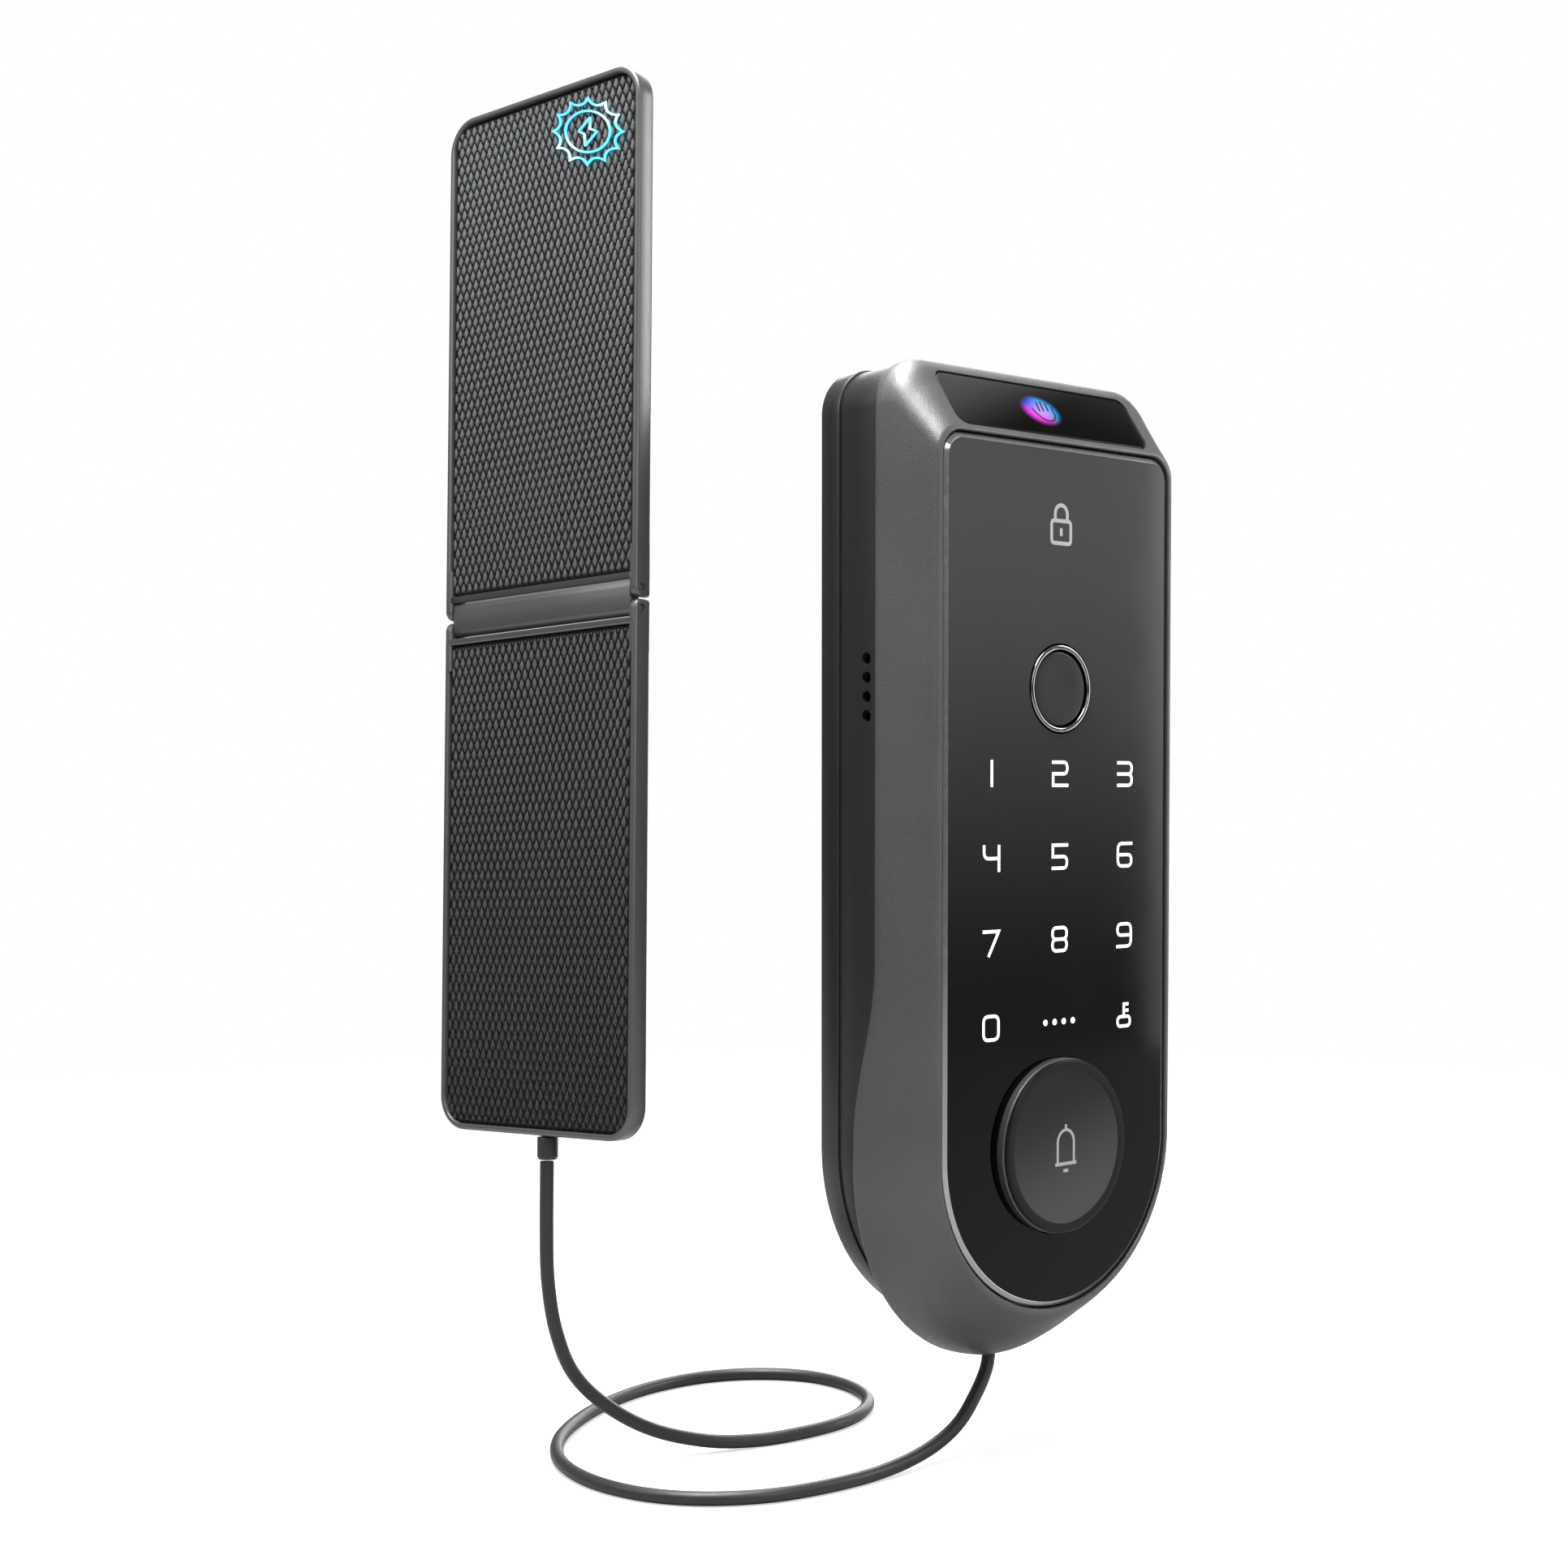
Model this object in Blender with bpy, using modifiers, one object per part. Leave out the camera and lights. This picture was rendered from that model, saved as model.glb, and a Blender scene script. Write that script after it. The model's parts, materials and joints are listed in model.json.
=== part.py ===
"""Keypad smart lock with a folding solar panel on a lead.

The lock is the unit that goes on the outside of a door. Its frame is the shared one: the origin is
the centre of the round lower end on the rear face, which lies on the door, +X is to the right of
someone facing the lock, the keypad faces -Y, and +Z is up. Depths are counted back from the glass.
The panel has a frame of its own, an empty at the middle of its lower edge, on its front face.
"""

import math

import bmesh
import bpy
import numpy as np
from mathutils import Matrix, Vector

MM = 0.001
GAP = 0.2 * MM  # between pieces that touch

# Lock
LOCK_DEPTH = 28.8 * MM  # glass face to door face
PLATE_DEPTH = 5.2 * MM
PLATE_HALF = 36.5 * MM
PLATE_TOP = 149.4 * MM
PLATE_DROP = 37.7 * MM
PLATE_CORNER = 9 * MM
MID_INSET = 0.4 * MM
CAVITY_HALF = 33 * MM
CAVITY_TOP = 139.5 * MM
CAVITY_DROP = 29 * MM
SIDE_DEPTH = 13.5 * MM  # where the front housing ends on its straight sides
CHIN_DEPTH = 21.8 * MM  # and under its chin
SWEEP_TOP = 36 * MM
SWEEP_FOOT = 2 * MM
GLASS_HALF = 31.35 * MM
GLASS_TOP = 135 * MM
GLASS_CORNER = 4.5 * MM
GLASS_THICK = 1.8 * MM
LEDGE_DEPTH = 2.6 * MM

# Front housing sections, front to rear: share of its depth, half width, top, corner, drop
HOUSING = (
    (0.000, 32.70, 136.0, 5.0, 32.9),
    (0.026, 33.05, 136.4, 5.2, 33.5),
    (0.220, 33.75, 140.0, 6.3, 36.9),
    (0.450, 34.60, 144.4, 7.6, 40.6),
    (0.670, 35.45, 148.5, 8.8, 43.3),
    (0.790, 35.90, 149.7, 9.4, 44.0),
    (0.930, 36.40, 150.1, 9.9, 44.2),
    (0.980, 36.50, 150.1, 10.0, 43.9),
    (1.000, 36.30, 149.9, 9.9, 43.5),
)

# Sloping reader window above the glass
SLOPE = math.radians(34.8)
WINDOW_CENTRE = Vector((0, -24.3 * MM, 142.2 * MM))
WINDOW_WIDTH = 53 * MM
WINDOW_HEIGHT = 12.7 * MM
WINDOW_THICK = 1 * MM
WINDOW_RECESS = 0.15 * MM

# Keypad face
KEY_PITCH_X = 18.9 * MM
KEY_PITCH_Z = 16 * MM
KEY_TOP_ROW = 72 * MM
SENSOR_Z = 88.4 * MM
SENSOR_RADIUS = 7.2 * MM
SENSOR_RING = 8.5 * MM
BELL_RADIUS = 17 * MM
BOARD_DEPTH = 5 * MM
BOARD_THICK = 1.2 * MM

# Speaker and lead
SPEAKER_Y = -12.7 * MM
SPEAKER_HOLES = 4
SPEAKER_FIRST = 93.6 * MM
SPEAKER_PITCH = 3.6 * MM
LEAD_RADIUS = 1.35 * MM
SOCKET_Y = -10.2 * MM
PLUG_RADIUS = 2.1 * MM
PLUG_FOOT = -43 * MM
PLUG_TOP = -36.7 * MM

# Fixings in the back plate
SCREWS = ((-25, 143.2), (25, 143.2), (-15.5, -26), (15.5, -26))
SCREW_TIPS = (-20 * MM, -20 * MM, -16 * MM, -16 * MM)
BUSHING_X = 21 * MM
GROMMET_Z = 24 * MM

# Solar panel, in its own frame: x right, y back from the front face, z up
PANEL_FOOT = (-83.9 * MM, 28.8 * MM, 3.5 * MM)
PANEL_TURN = math.radians(-81.6)
PANEL_LEAN = math.radians(-3.35)
PANEL_ROLL = math.radians(-2.5)
LEAF_WIDTH = 53 * MM
LEAF_THICK = 4.1 * MM
LEAF_CORNER = 6.5 * MM
RIM = 1.2 * MM
HINGE_Z = 100.1 * MM
CHEEK = 1.7 * MM
PIN_DEPTH = 1.75 * MM
PIN_OFFSET = 1.95 * MM  # each pin's distance from the hinge's middle
PIN_RADIUS = 0.6 * MM
PIN_RUN = 0.07 * MM  # running clearance
PIN_LENGTH = 4.2 * MM
BAR_RADIUS = 1.25 * MM
BODY_END = 3.6 * MM  # from the hinge's middle to each leaf's body
CELL_DEPTH = 1.8 * MM
GLAND_X = 2.3 * MM

# The lead's centre line, mm: gland, down to the ground, round one loop and up to the lock
LEAD_ROUTE = (
    (-81.9, 26.6, -1.3), (-82.1, 26.4, -6), (-82.2, 26.4, -14), (-81.8, 26.6, -24),
    (-79.6, 27.2, -34), (-75.2, 27.6, -43.2), (-67.6, 26.8, -50.8), (-57.8, 24.8, -56.8),
    (-46.5, 21.8, -60.4), (-36.5, 18.9, -61.5), (-27, 17, -61.5), (-15.5, 17.3, -61.5),
    (-5.8, 20.8, -61.5), (1.8, 27.8, -61.5), (5.4, 38, -61.5), (4.2, 49, -61.5),
    (-2.8, 58.2, -61.5), (-13.5, 63.8, -61.5), (-27, 64.8, -61.5), (-41, 61.4, -61.5),
    (-55, 54.2, -61.5), (-67, 44.4, -61.5), (-74.8, 32.5, -61.5), (-77.6, 19.3, -61.5),
    (-75.4, 6.8, -61.5), (-68.8, -3, -61.5), (-58, -10, -61.5), (-45, -12.9, -61.5),
    (-31.5, -13.2, -61.3), (-20, -13, -59.6), (-11.3, -12.6, -56.2), (-5, -11.6, -51.2),
    (-1, -10.5, -47), (0, -10.2, -43.5),
)
LEAD_POINTS = 68

ARC = 24  # segments in a half circle
BEND = 6  # segments in a corner


def clear_scene():
    for item in list(bpy.data.objects):
        bpy.data.objects.remove(item)


def new_collection(name):
    made = bpy.data.collections.new(name)
    bpy.context.scene.collection.children.link(made)
    return made


def new_finish(name, color, roughness, metallic):
    made = bpy.data.materials.new(name)
    made.use_nodes = True
    shader = made.node_tree.nodes["Principled BSDF"]
    shader.inputs["Base Color"].default_value = (*color, 1)
    shader.inputs["Roughness"].default_value = roughness
    shader.inputs["Metallic"].default_value = metallic
    return made


clear_scene()
PARTS = new_collection("keypad_smart_lock")
CUTTERS = new_collection("cutters")

CAST = new_finish("cast_housing", (0.10, 0.10, 0.105), 0.42, 0.85)
MOULDED = new_finish("moulded_housing", (0.03, 0.03, 0.032), 0.38, 0.2)
PLATED = new_finish("plated_steel", (0.07, 0.07, 0.075), 0.35, 0.8)
GLASS = new_finish("black_glass", (0.02, 0.02, 0.022), 0.06, 0.0)
POLISHED = new_finish("polished_ring", (0.35, 0.35, 0.36), 0.12, 1.0)
SEAL = new_finish("black_rubber", (0.012, 0.012, 0.012), 0.7, 0.0)
CIRCUIT = new_finish("circuit_board", (0.02, 0.12, 0.06), 0.5, 0.0)
DIFFUSER = new_finish("white_diffuser", (0.8, 0.8, 0.78), 0.5, 0.0)
STEEL = new_finish("zinc_steel", (0.5, 0.5, 0.52), 0.3, 1.0)
BRASS = new_finish("brass", (0.6, 0.42, 0.16), 0.3, 1.0)
ALLOY = new_finish("anodised_alloy", (0.16, 0.16, 0.165), 0.36, 0.9)
CELL = new_finish("solar_laminate", (0.045, 0.048, 0.05), 0.3, 0.1)
LEAD = new_finish("lead_jacket", (0.02, 0.02, 0.021), 0.42, 0.0)
FOAM = new_finish("adhesive_foam", (0.03, 0.03, 0.03), 0.9, 0.0)


def add(name, mesh, finish, parent=None, location=(0, 0, 0), tilt=0.0):
    """A visible piece. tilt turns it about X."""
    made = bpy.data.objects.new(name, mesh)
    PARTS.objects.link(made)
    made.data.materials.clear()
    made.data.materials.append(finish)
    made.parent = parent
    made.location = location
    made.rotation_euler.x = tilt
    return made


def cut(piece, name, mesh, parent=None, location=(0, 0, 0), tilt=0.0, operation="DIFFERENCE"):
    """Cuts the mesh from the piece, or joins it on, and leaves the cutter as a hidden guide."""
    cutter = bpy.data.objects.new(f"{name}_cutter", mesh)
    CUTTERS.objects.link(cutter)
    cutter.parent = parent
    cutter.location = location
    cutter.rotation_euler.x = tilt
    cutter.display_type = "WIRE"
    cutter.hide_render = True
    boolean = piece.modifiers.new(name, "BOOLEAN")
    boolean.object = cutter
    boolean.operation = operation
    boolean.solver = "EXACT"


def add_empty(name, parent=None, location=(0, 0, 0)):
    made = bpy.data.objects.new(name, None)
    PARTS.objects.link(made)
    made.parent = parent
    made.location = location
    return made


def box(low, high, bevel=0.0):
    """A box between two corners, with all its edges rounded by bevel."""
    low, high = Vector(low), Vector(high)
    shape = bmesh.new()
    bmesh.ops.create_cube(shape, size=1)
    bmesh.ops.scale(shape, vec=high - low, verts=shape.verts)
    bmesh.ops.translate(shape, vec=(low + high) / 2, verts=shape.verts)
    if bevel:
        bmesh.ops.bevel(
            shape, geom=shape.edges, offset=bevel, segments=2, profile=0.5, affect="EDGES"
        )
    return mesh_of(shape)


def rod(radius, start, end, segments=24):
    """A cylinder from start to end."""
    start, end = Vector(start), Vector(end)
    span = end - start
    shape = bmesh.new()
    turn = span.to_track_quat("Z", "Y").to_matrix().to_4x4()
    bmesh.ops.create_cone(
        shape, cap_ends=True, segments=segments, radius1=radius, radius2=radius,
        depth=span.length, matrix=Matrix.Translation((start + end) / 2) @ turn,
    )
    return mesh_of(shape)


def mesh_of(shape):
    mesh = bpy.data.meshes.new("shape")
    shape.to_mesh(mesh)
    shape.free()
    return mesh


def slab(outlines, front, rear):
    """Outlines in the XZ plane, the first one filled and the others holes, from depth y front to rear."""
    curve = bpy.data.curves.new("outline", "CURVE")
    curve.dimensions = "2D"
    curve.fill_mode = "BOTH"
    curve.extrude = (rear - front) / 2
    for outline in outlines:
        spline = curve.splines.new("POLY")
        spline.points.add(len(outline) - 1)
        for point, (x, z) in zip(spline.points, outline):
            point.co = (x, z, 0, 1)
        spline.use_cyclic_u = True
    guide = bpy.data.objects.new("outline", curve)
    CUTTERS.objects.link(guide)
    bpy.context.view_layer.update()
    graph = bpy.context.evaluated_depsgraph_get()
    mesh = bpy.data.meshes.new_from_object(guide.evaluated_get(graph))
    bpy.data.objects.remove(guide)
    shape = bmesh.new()
    shape.from_mesh(mesh)
    bmesh.ops.remove_doubles(shape, verts=shape.verts, dist=0.001 * MM)
    shape.to_mesh(mesh)
    shape.free()
    mesh.transform(Matrix.Rotation(math.pi / 2, 4, "X"))
    mesh.transform(Matrix.Translation((0, (front + rear) / 2, 0)))
    return mesh


def turned(name, profile, finish, location, parent=None, tilt=math.pi / 2, steps=40):
    """A profile of (radius, height) in mm, turned about its axis, which faces -Y unless tilt is 0."""
    mesh = bpy.data.meshes.new(name)
    points = [(radius * MM, 0, height * MM) for radius, height in profile]
    edges = [(i, i + 1) for i in range(len(points) - 1)]
    if profile[0][0] > 0:
        edges.append((len(points) - 1, 0))
    mesh.from_pydata(points, edges, [])
    made = add(name, mesh, finish, parent, location, tilt)
    screw = made.modifiers.new("turn", "SCREW")
    screw.steps = steps
    screw.render_steps = steps
    screw.use_merge_vertices = True
    screw.merge_threshold = 0.01 * MM
    return made


def arc(x, z, radius_x, radius_z, start, end, segments):
    """Points of an elliptical arc from start to end, in degrees."""
    angles = np.radians(np.linspace(start, end, segments + 1))
    return [(x + radius_x * math.cos(a), z + radius_z * math.sin(a)) for a in angles]


def circle(x, z, radius, segments=32):
    return arc(x, z, radius, radius, 0, 360, segments)[:-1]


def rounded(width, height, x, z, corner):
    """A rectangle with round corners, centred on x, z."""
    half_x, half_z = width / 2 - corner, height / 2 - corner
    points = []
    for side_x, side_z, start in ((1, 1, 0), (-1, 1, 90), (-1, -1, 180), (1, -1, 270)):
        centre = (x + side_x * half_x, z + side_z * half_z)
        points += arc(*centre, corner, corner, start, start + 90, BEND)
    return points


SIDE_HEIGHTS = [SWEEP_FOOT + (SWEEP_TOP + 2 * MM - SWEEP_FOOT) * i / 6 for i in range(7)]


def shield(half, top, corner, drop):
    """The lock's outline: flat top with round corners, straight sides, half an ellipse below."""
    points = arc(0, 0, half, drop, 180, 360, ARC)
    points += [(half, z) for z in SIDE_HEIGHTS]
    points += arc(half - corner, top - corner, corner, corner, 0, 90, BEND)
    points += arc(corner - half, top - corner, corner, corner, 90, 180, BEND)
    points += [(-half, z) for z in reversed(SIDE_HEIGHTS)]
    return points


def inset(outline_size, distance):
    """The numbers of a shield drawn in by distance."""
    half, top, corner, drop = outline_size
    return half - distance, top - distance, max(corner - distance, 1 * MM), drop - distance


def housing_end(z):
    """Depth of the front housing's rear edge: it sweeps back below the keypad and on under the chin."""
    share = min(max((SWEEP_TOP - z) / (SWEEP_TOP - SWEEP_FOOT), 0), 1)
    swept = share * share * (3 - 2 * share)
    below = max(-z / (44 * MM), 0)
    side = SIDE_DEPTH + (CHIN_DEPTH - SIDE_DEPTH - 2.4 * MM) * swept
    return side + 2.4 * MM * below


def ring(outline_size, depth_at):
    """A section: the outline, at the depth that depth_at gives for each height."""
    outline = shield(*outline_size)
    return [(x, depth_at(z) - LOCK_DEPTH, z) for x, z in outline]


def loft(rings):
    """A closed skin through the rings in turn and back to the first: a tube with a wall."""
    count = len(rings[0])
    points = [point for section in rings for point in section]
    faces = []
    for i in range(len(rings)):
        here, there = i * count, (i + 1) % len(rings) * count
        for j in range(count):
            k = (j + 1) % count
            faces.append((here + j, there + j, there + k, here + k))
    mesh = bpy.data.meshes.new("loft")
    mesh.from_pydata(points, [], faces)
    shape = bmesh.new()
    shape.from_mesh(mesh)
    bmesh.ops.remove_doubles(shape, verts=shape.verts, dist=0.001 * MM)
    bmesh.ops.recalc_face_normals(shape, faces=shape.faces)
    shape.to_mesh(mesh)
    shape.free()
    return mesh


def flat(depth):
    return lambda z: depth


def make_front_housing():
    """Cast shell: the flared outside, a rim and ledge for the glass, and the cavity behind it."""
    rings = []
    for share, *size in HOUSING:
        size = [value * MM for value in size]
        rings.append(ring(size, lambda z, share=share: share * housing_end(z)))
    cavity = (CAVITY_HALF, CAVITY_TOP, 6 * MM, CAVITY_DROP)
    glass = (GLASS_HALF, GLASS_TOP, GLASS_CORNER, GLASS_HALF)
    rings.append(ring(cavity, housing_end))
    ledge = inset(glass, 2.1 * MM)
    rings.append(ring(ledge, flat(LEDGE_DEPTH)))
    rings.append(ring(inset(glass, -0.35 * MM), flat(LEDGE_DEPTH)))
    rings.append(ring(inset(glass, -0.35 * MM), flat(0)))
    housing = add("front_housing", loft(rings), CAST)
    recess = slab(
        [rounded(WINDOW_WIDTH + 2 * GAP, WINDOW_HEIGHT + 2 * GAP, 0, 0, 2.4 * MM)], -3 * MM, 1.7 * MM
    )
    cut(housing, "window_recess", recess, location=WINDOW_CENTRE, tilt=-SLOPE)
    pocket = box((-20 * MM, 1 * MM, -4.8 * MM), (20 * MM, 13 * MM, 4.8 * MM))
    cut(housing, "reader_pocket", pocket, location=WINDOW_CENTRE, tilt=-SLOPE)
    for i, ((x, z), tip) in enumerate(zip(SCREWS, SCREW_TIPS)):
        hole = rod(1.5 * MM, (x * MM, 0, z * MM), (x * MM, tip - 0.4 * MM, z * MM), 16)
        cut(housing, f"pilot_{i + 1}", hole)
    socket = box((-4.6 * MM, SOCKET_Y - 2 * MM, -36.4 * MM), (4.6 * MM, SOCKET_Y + 2 * MM, -25 * MM))
    cut(housing, "socket_pocket", socket)
    bore = rod(PLUG_RADIUS + GAP, (0, SOCKET_Y, -48 * MM), (0, SOCKET_Y, -35 * MM))
    cut(housing, "plug_bore", bore)


def make_mid_housing():
    """Moulded middle section between the cast shell and the back plate, with the sound holes."""
    outside = inset((PLATE_HALF, PLATE_TOP, PLATE_CORNER, PLATE_DROP), MID_INSET)
    cavity = (CAVITY_HALF, CAVITY_TOP, 6 * MM, CAVITY_DROP)
    rear = flat(LOCK_DEPTH - PLATE_DEPTH - GAP)

    def front(z):
        return housing_end(z) + GAP

    rings = [ring(outside, front), ring(outside, rear), ring(cavity, rear), ring(cavity, front)]
    housing = add("mid_housing", loft(rings), MOULDED)
    for i in range(SPEAKER_HOLES):
        z = SPEAKER_FIRST - i * SPEAKER_PITCH
        hole = rod(1.15 * MM, (-38 * MM, SPEAKER_Y, z), (-31 * MM, SPEAKER_Y, z), 16)
        cut(housing, f"sound_hole_{i + 1}", hole)
    for i, (x, z) in enumerate(SCREWS):
        hole = rod(1.6 * MM, (x * MM, 0, z * MM), (x * MM, -25 * MM, z * MM), 16)
        cut(housing, f"screw_way_{i + 1}", hole)


def make_back_plate():
    """Plate on the door side, with its seal groove, screws, bushings and lead-through."""
    size = (PLATE_HALF, PLATE_TOP, PLATE_CORNER, PLATE_DROP)
    plate = add("back_plate", slab([shield(*size)], -PLATE_DEPTH, 0), PLATED)
    groove = [shield(*inset(size, 1 * MM)), shield(*inset(size, 2.6 * MM))]
    cut(plate, "seal_groove", slab(groove, -1.3 * MM, 1 * MM))
    seal = [shield(*inset(size, 1.2 * MM)), shield(*inset(size, 2.4 * MM))]
    add("door_seal", slab(seal, -1.1 * MM, 0), SEAL)
    for i, ((x, z), tip) in enumerate(zip(SCREWS, SCREW_TIPS)):
        x, z = x * MM, z * MM
        way = rod(1.6 * MM, (x, 1 * MM, z), (x, -7 * MM, z), 16)
        cut(plate, f"screw_hole_{i + 1}", way)
        sink = rod(3 * MM, (x, 1 * MM, z), (x, -2.4 * MM, z))
        cut(plate, f"screw_sink_{i + 1}", sink)
        reach = (-tip - 2.2 * MM) / MM
        profile = [(0, 0), (1.2, 0), (1.3, -0.6), (1.3, -reach), (2.75, -reach), (2.75, -reach - 1.7)]
        profile += [(1, -reach - 1.7), (1, -reach - 0.6), (0, -reach - 0.6)]
        turned(f"case_screw_{i + 1}", profile, STEEL, (x, tip, z), steps=12)
    for side, x in (("left", -BUSHING_X), ("right", BUSHING_X)):
        seat = rod(3.7 * MM, (x, 1 * MM, 0), (x, -4.2 * MM, 0))
        cut(plate, f"{side}_bushing_seat", seat)
        profile = [(0, 4), (3.5, 4), (3.5, 0), (1.65, 0), (1.65, 3.2), (0, 3.2)]
        turned(f"mounting_bushing_{side}", profile, BRASS, (x, 0, 0), steps=16)
    opening = rod(5.2 * MM, (0, 1 * MM, GROMMET_Z), (0, -7 * MM, GROMMET_Z), 32)
    cut(plate, "lead_through", opening)
    profile = [(3.2, 6.6), (7, 6.6), (7, 5.4), (5, 5.4), (5, 0), (3.2, 0)]
    turned("harness_grommet", profile, SEAL, (0, 0, GROMMET_Z), steps=20)


def make_glass():
    """Cover glass with its two openings, and the adhesive seal that it lies on."""
    size = (GLASS_HALF, GLASS_TOP, GLASS_CORNER, GLASS_HALF)
    openings = [
        circle(0, SENSOR_Z, SENSOR_RING + GAP),
        circle(0, 0, BELL_RADIUS + GAP, 48),
    ]
    front = -LOCK_DEPTH
    add("glass_panel", slab([shield(*size)] + openings, front, front + GLASS_THICK), GLASS)
    seal = [shield(*inset(size, 0.2 * MM)), shield(*inset(size, 1.8 * MM))]
    add("glass_seal", slab(seal, front + 1.95 * MM, front + 2.4 * MM), SEAL)


def make_keypad():
    """Light guide with a window under each key, and the touch board behind it."""
    low, high = 19 * MM, 78 * MM
    outlines = [rounded(54 * MM, high - low, 0, (low + high) / 2, 3 * MM)]
    for row in range(4):
        for column in (-1, 0, 1):
            centre = (column * KEY_PITCH_X, KEY_TOP_ROW - row * KEY_PITCH_Z)
            outlines.append(circle(*centre, 4.4 * MM, 12))
    front = -LOCK_DEPTH + 2.1 * MM
    add("keypad_light_guide", slab(outlines, front, front + 1.5 * MM), DIFFUSER)
    face = -LOCK_DEPTH + BOARD_DEPTH
    board = (28 * MM, 131 * MM, 3 * MM, 27.5 * MM)
    add("keypad_board", slab([shield(*board)], face, face + BOARD_THICK), CIRCUIT)


def make_fingerprint_reader():
    place = (0, -LOCK_DEPTH, SENSOR_Z)
    profile = [(7.45, 0.3), (8.25, 0.3), (8.5, 0.05), (8.5, -2), (9.4, -2), (9.4, -2.6), (7.45, -2.6)]
    turned("fingerprint_bezel", profile, POLISHED, place, steps=32)
    profile = [(0, -0.15), (6.9, -0.15), (7.2, -0.4), (7.2, -3), (5, -3), (5, -4.7), (0, -4.7)]
    turned("fingerprint_sensor", profile, GLASS, place, steps=32)


def make_doorbell():
    """The ring, the cap that travels in it on its own axis, and the silicone dome that returns it."""
    place = (0, -LOCK_DEPTH, 0)
    profile = [(16.25, 1.5), (16.8, 1.5), (17, 1.3), (17, -2.1), (18.5, -2.1), (18.5, -3), (16.25, -3)]
    turned("doorbell_bezel", profile, CAST, place)
    axis = add_empty("doorbell_axis", location=place)
    profile = [
        (0, 2.05), (8, 2.12), (14.9, 2.3), (16.5, 2.35), (16.85, 2.2), (16.85, 1.95), (16, 1.95),
        (16, -3.4), (17.2, -3.4), (17.2, -4), (14.6, -4), (14.6, 0.6), (2.2, 0.6), (2.2, -2.5),
        (0, -2.5),
    ]
    turned("doorbell_cap", profile, GLASS, (0, 0, 0), parent=axis)
    profile = [(0, -3), (2, -3), (3.6, -3.8), (4.2, -4.85), (0, -4.85)]
    turned("doorbell_dome", profile, SEAL, place, steps=16)


def make_reader():
    """Sloping window, its seal, and the palm reader's camera and two lamps behind it."""
    size = (WINDOW_WIDTH, WINDOW_HEIGHT)
    rear = WINDOW_RECESS + WINDOW_THICK
    pane = slab([rounded(*size, 0, 0, 2.2 * MM)], WINDOW_RECESS, rear)
    add("reader_window", pane, GLASS, location=WINDOW_CENTRE, tilt=-SLOPE)
    frame = [rounded(*size, 0, 0, 2.2 * MM), rounded(41 * MM, 10.2 * MM, 0, 0, 1.5 * MM)]
    seal = slab(frame, rear + 0.1 * MM, rear + 0.4 * MM)
    add("reader_window_seal", seal, SEAL, location=WINDOW_CENTRE, tilt=-SLOPE)
    module = box((-19 * MM, 3.3 * MM, -4.3 * MM), (19 * MM, 7.5 * MM, 4.3 * MM), 0.4 * MM)
    add("reader_camera_module", module, MOULDED, location=WINDOW_CENTRE, tilt=-SLOPE)
    lens = rod(2.6 * MM, (0, 1.8 * MM, 0), (0, 3.1 * MM, 0), 32)
    add("reader_camera_lens", lens, GLASS, location=WINDOW_CENTRE, tilt=-SLOPE)
    for side, x in (("left", -12 * MM), ("right", 12 * MM)):
        lamp = rod(1.6 * MM, (x, 1.8 * MM, 0), (x, 3.1 * MM, 0))
        add(f"reader_lamp_{side}", lamp, DIFFUSER, location=WINDOW_CENTRE, tilt=-SLOPE)


def make_inside():
    """Main board and the speaker behind the sound holes."""
    outline = rounded(54 * MM, 92 * MM, 0, 82 * MM, 3 * MM)
    front = -LOCK_DEPTH + 12 * MM
    add("main_board", slab([outline], front, front + BOARD_THICK), CIRCUIT)
    middle = SPEAKER_FIRST - SPEAKER_PITCH * (SPEAKER_HOLES - 1) / 2
    low = (-32.8 * MM, SPEAKER_Y - 2 * MM, middle - 8 * MM)
    high = (-32.4 * MM, SPEAKER_Y + 2.5 * MM, middle + 8 * MM)
    add("speaker_mesh", box(low, high), SEAL)
    low = (-32.1 * MM, SPEAKER_Y - 2.4 * MM, middle - 9 * MM)
    high = (-28.4 * MM, SPEAKER_Y + 5 * MM, middle + 9 * MM)
    add("speaker", box(low, high, 0.5 * MM), MOULDED)


def make_lead_ends():
    """The socket in the chin, and the plug that the lead ends in, inside its bore."""
    low = (-4.4 * MM, SOCKET_Y - 1.8 * MM, -36.2 * MM)
    high = (4.4 * MM, SOCKET_Y + 1.8 * MM, -29.6 * MM)
    add("charge_socket", box(low, high, 0.5 * MM), STEEL)
    plug = rod(PLUG_RADIUS, (0, SOCKET_Y, PLUG_FOOT), (0, SOCKET_Y, PLUG_TOP))
    add("cable_plug", plug, SEAL)


def make_lead():
    """The free lead, a tube along a smooth curve through the route's points."""
    curve = bpy.data.curves.new("solar_cable", "CURVE")
    curve.dimensions = "3D"
    curve.bevel_depth = LEAD_RADIUS
    curve.bevel_resolution = 2
    curve.use_fill_caps = True
    spline = curve.splines.new("POLY")
    path = smooth_path(np.array(LEAD_ROUTE) * MM, LEAD_POINTS)
    spline.points.add(len(path) - 1)
    for point, place in zip(spline.points, path):
        point.co = (*place, 1)
    lead = bpy.data.objects.new("solar_cable", curve)
    PARTS.objects.link(lead)
    curve.materials.append(LEAD)


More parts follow.
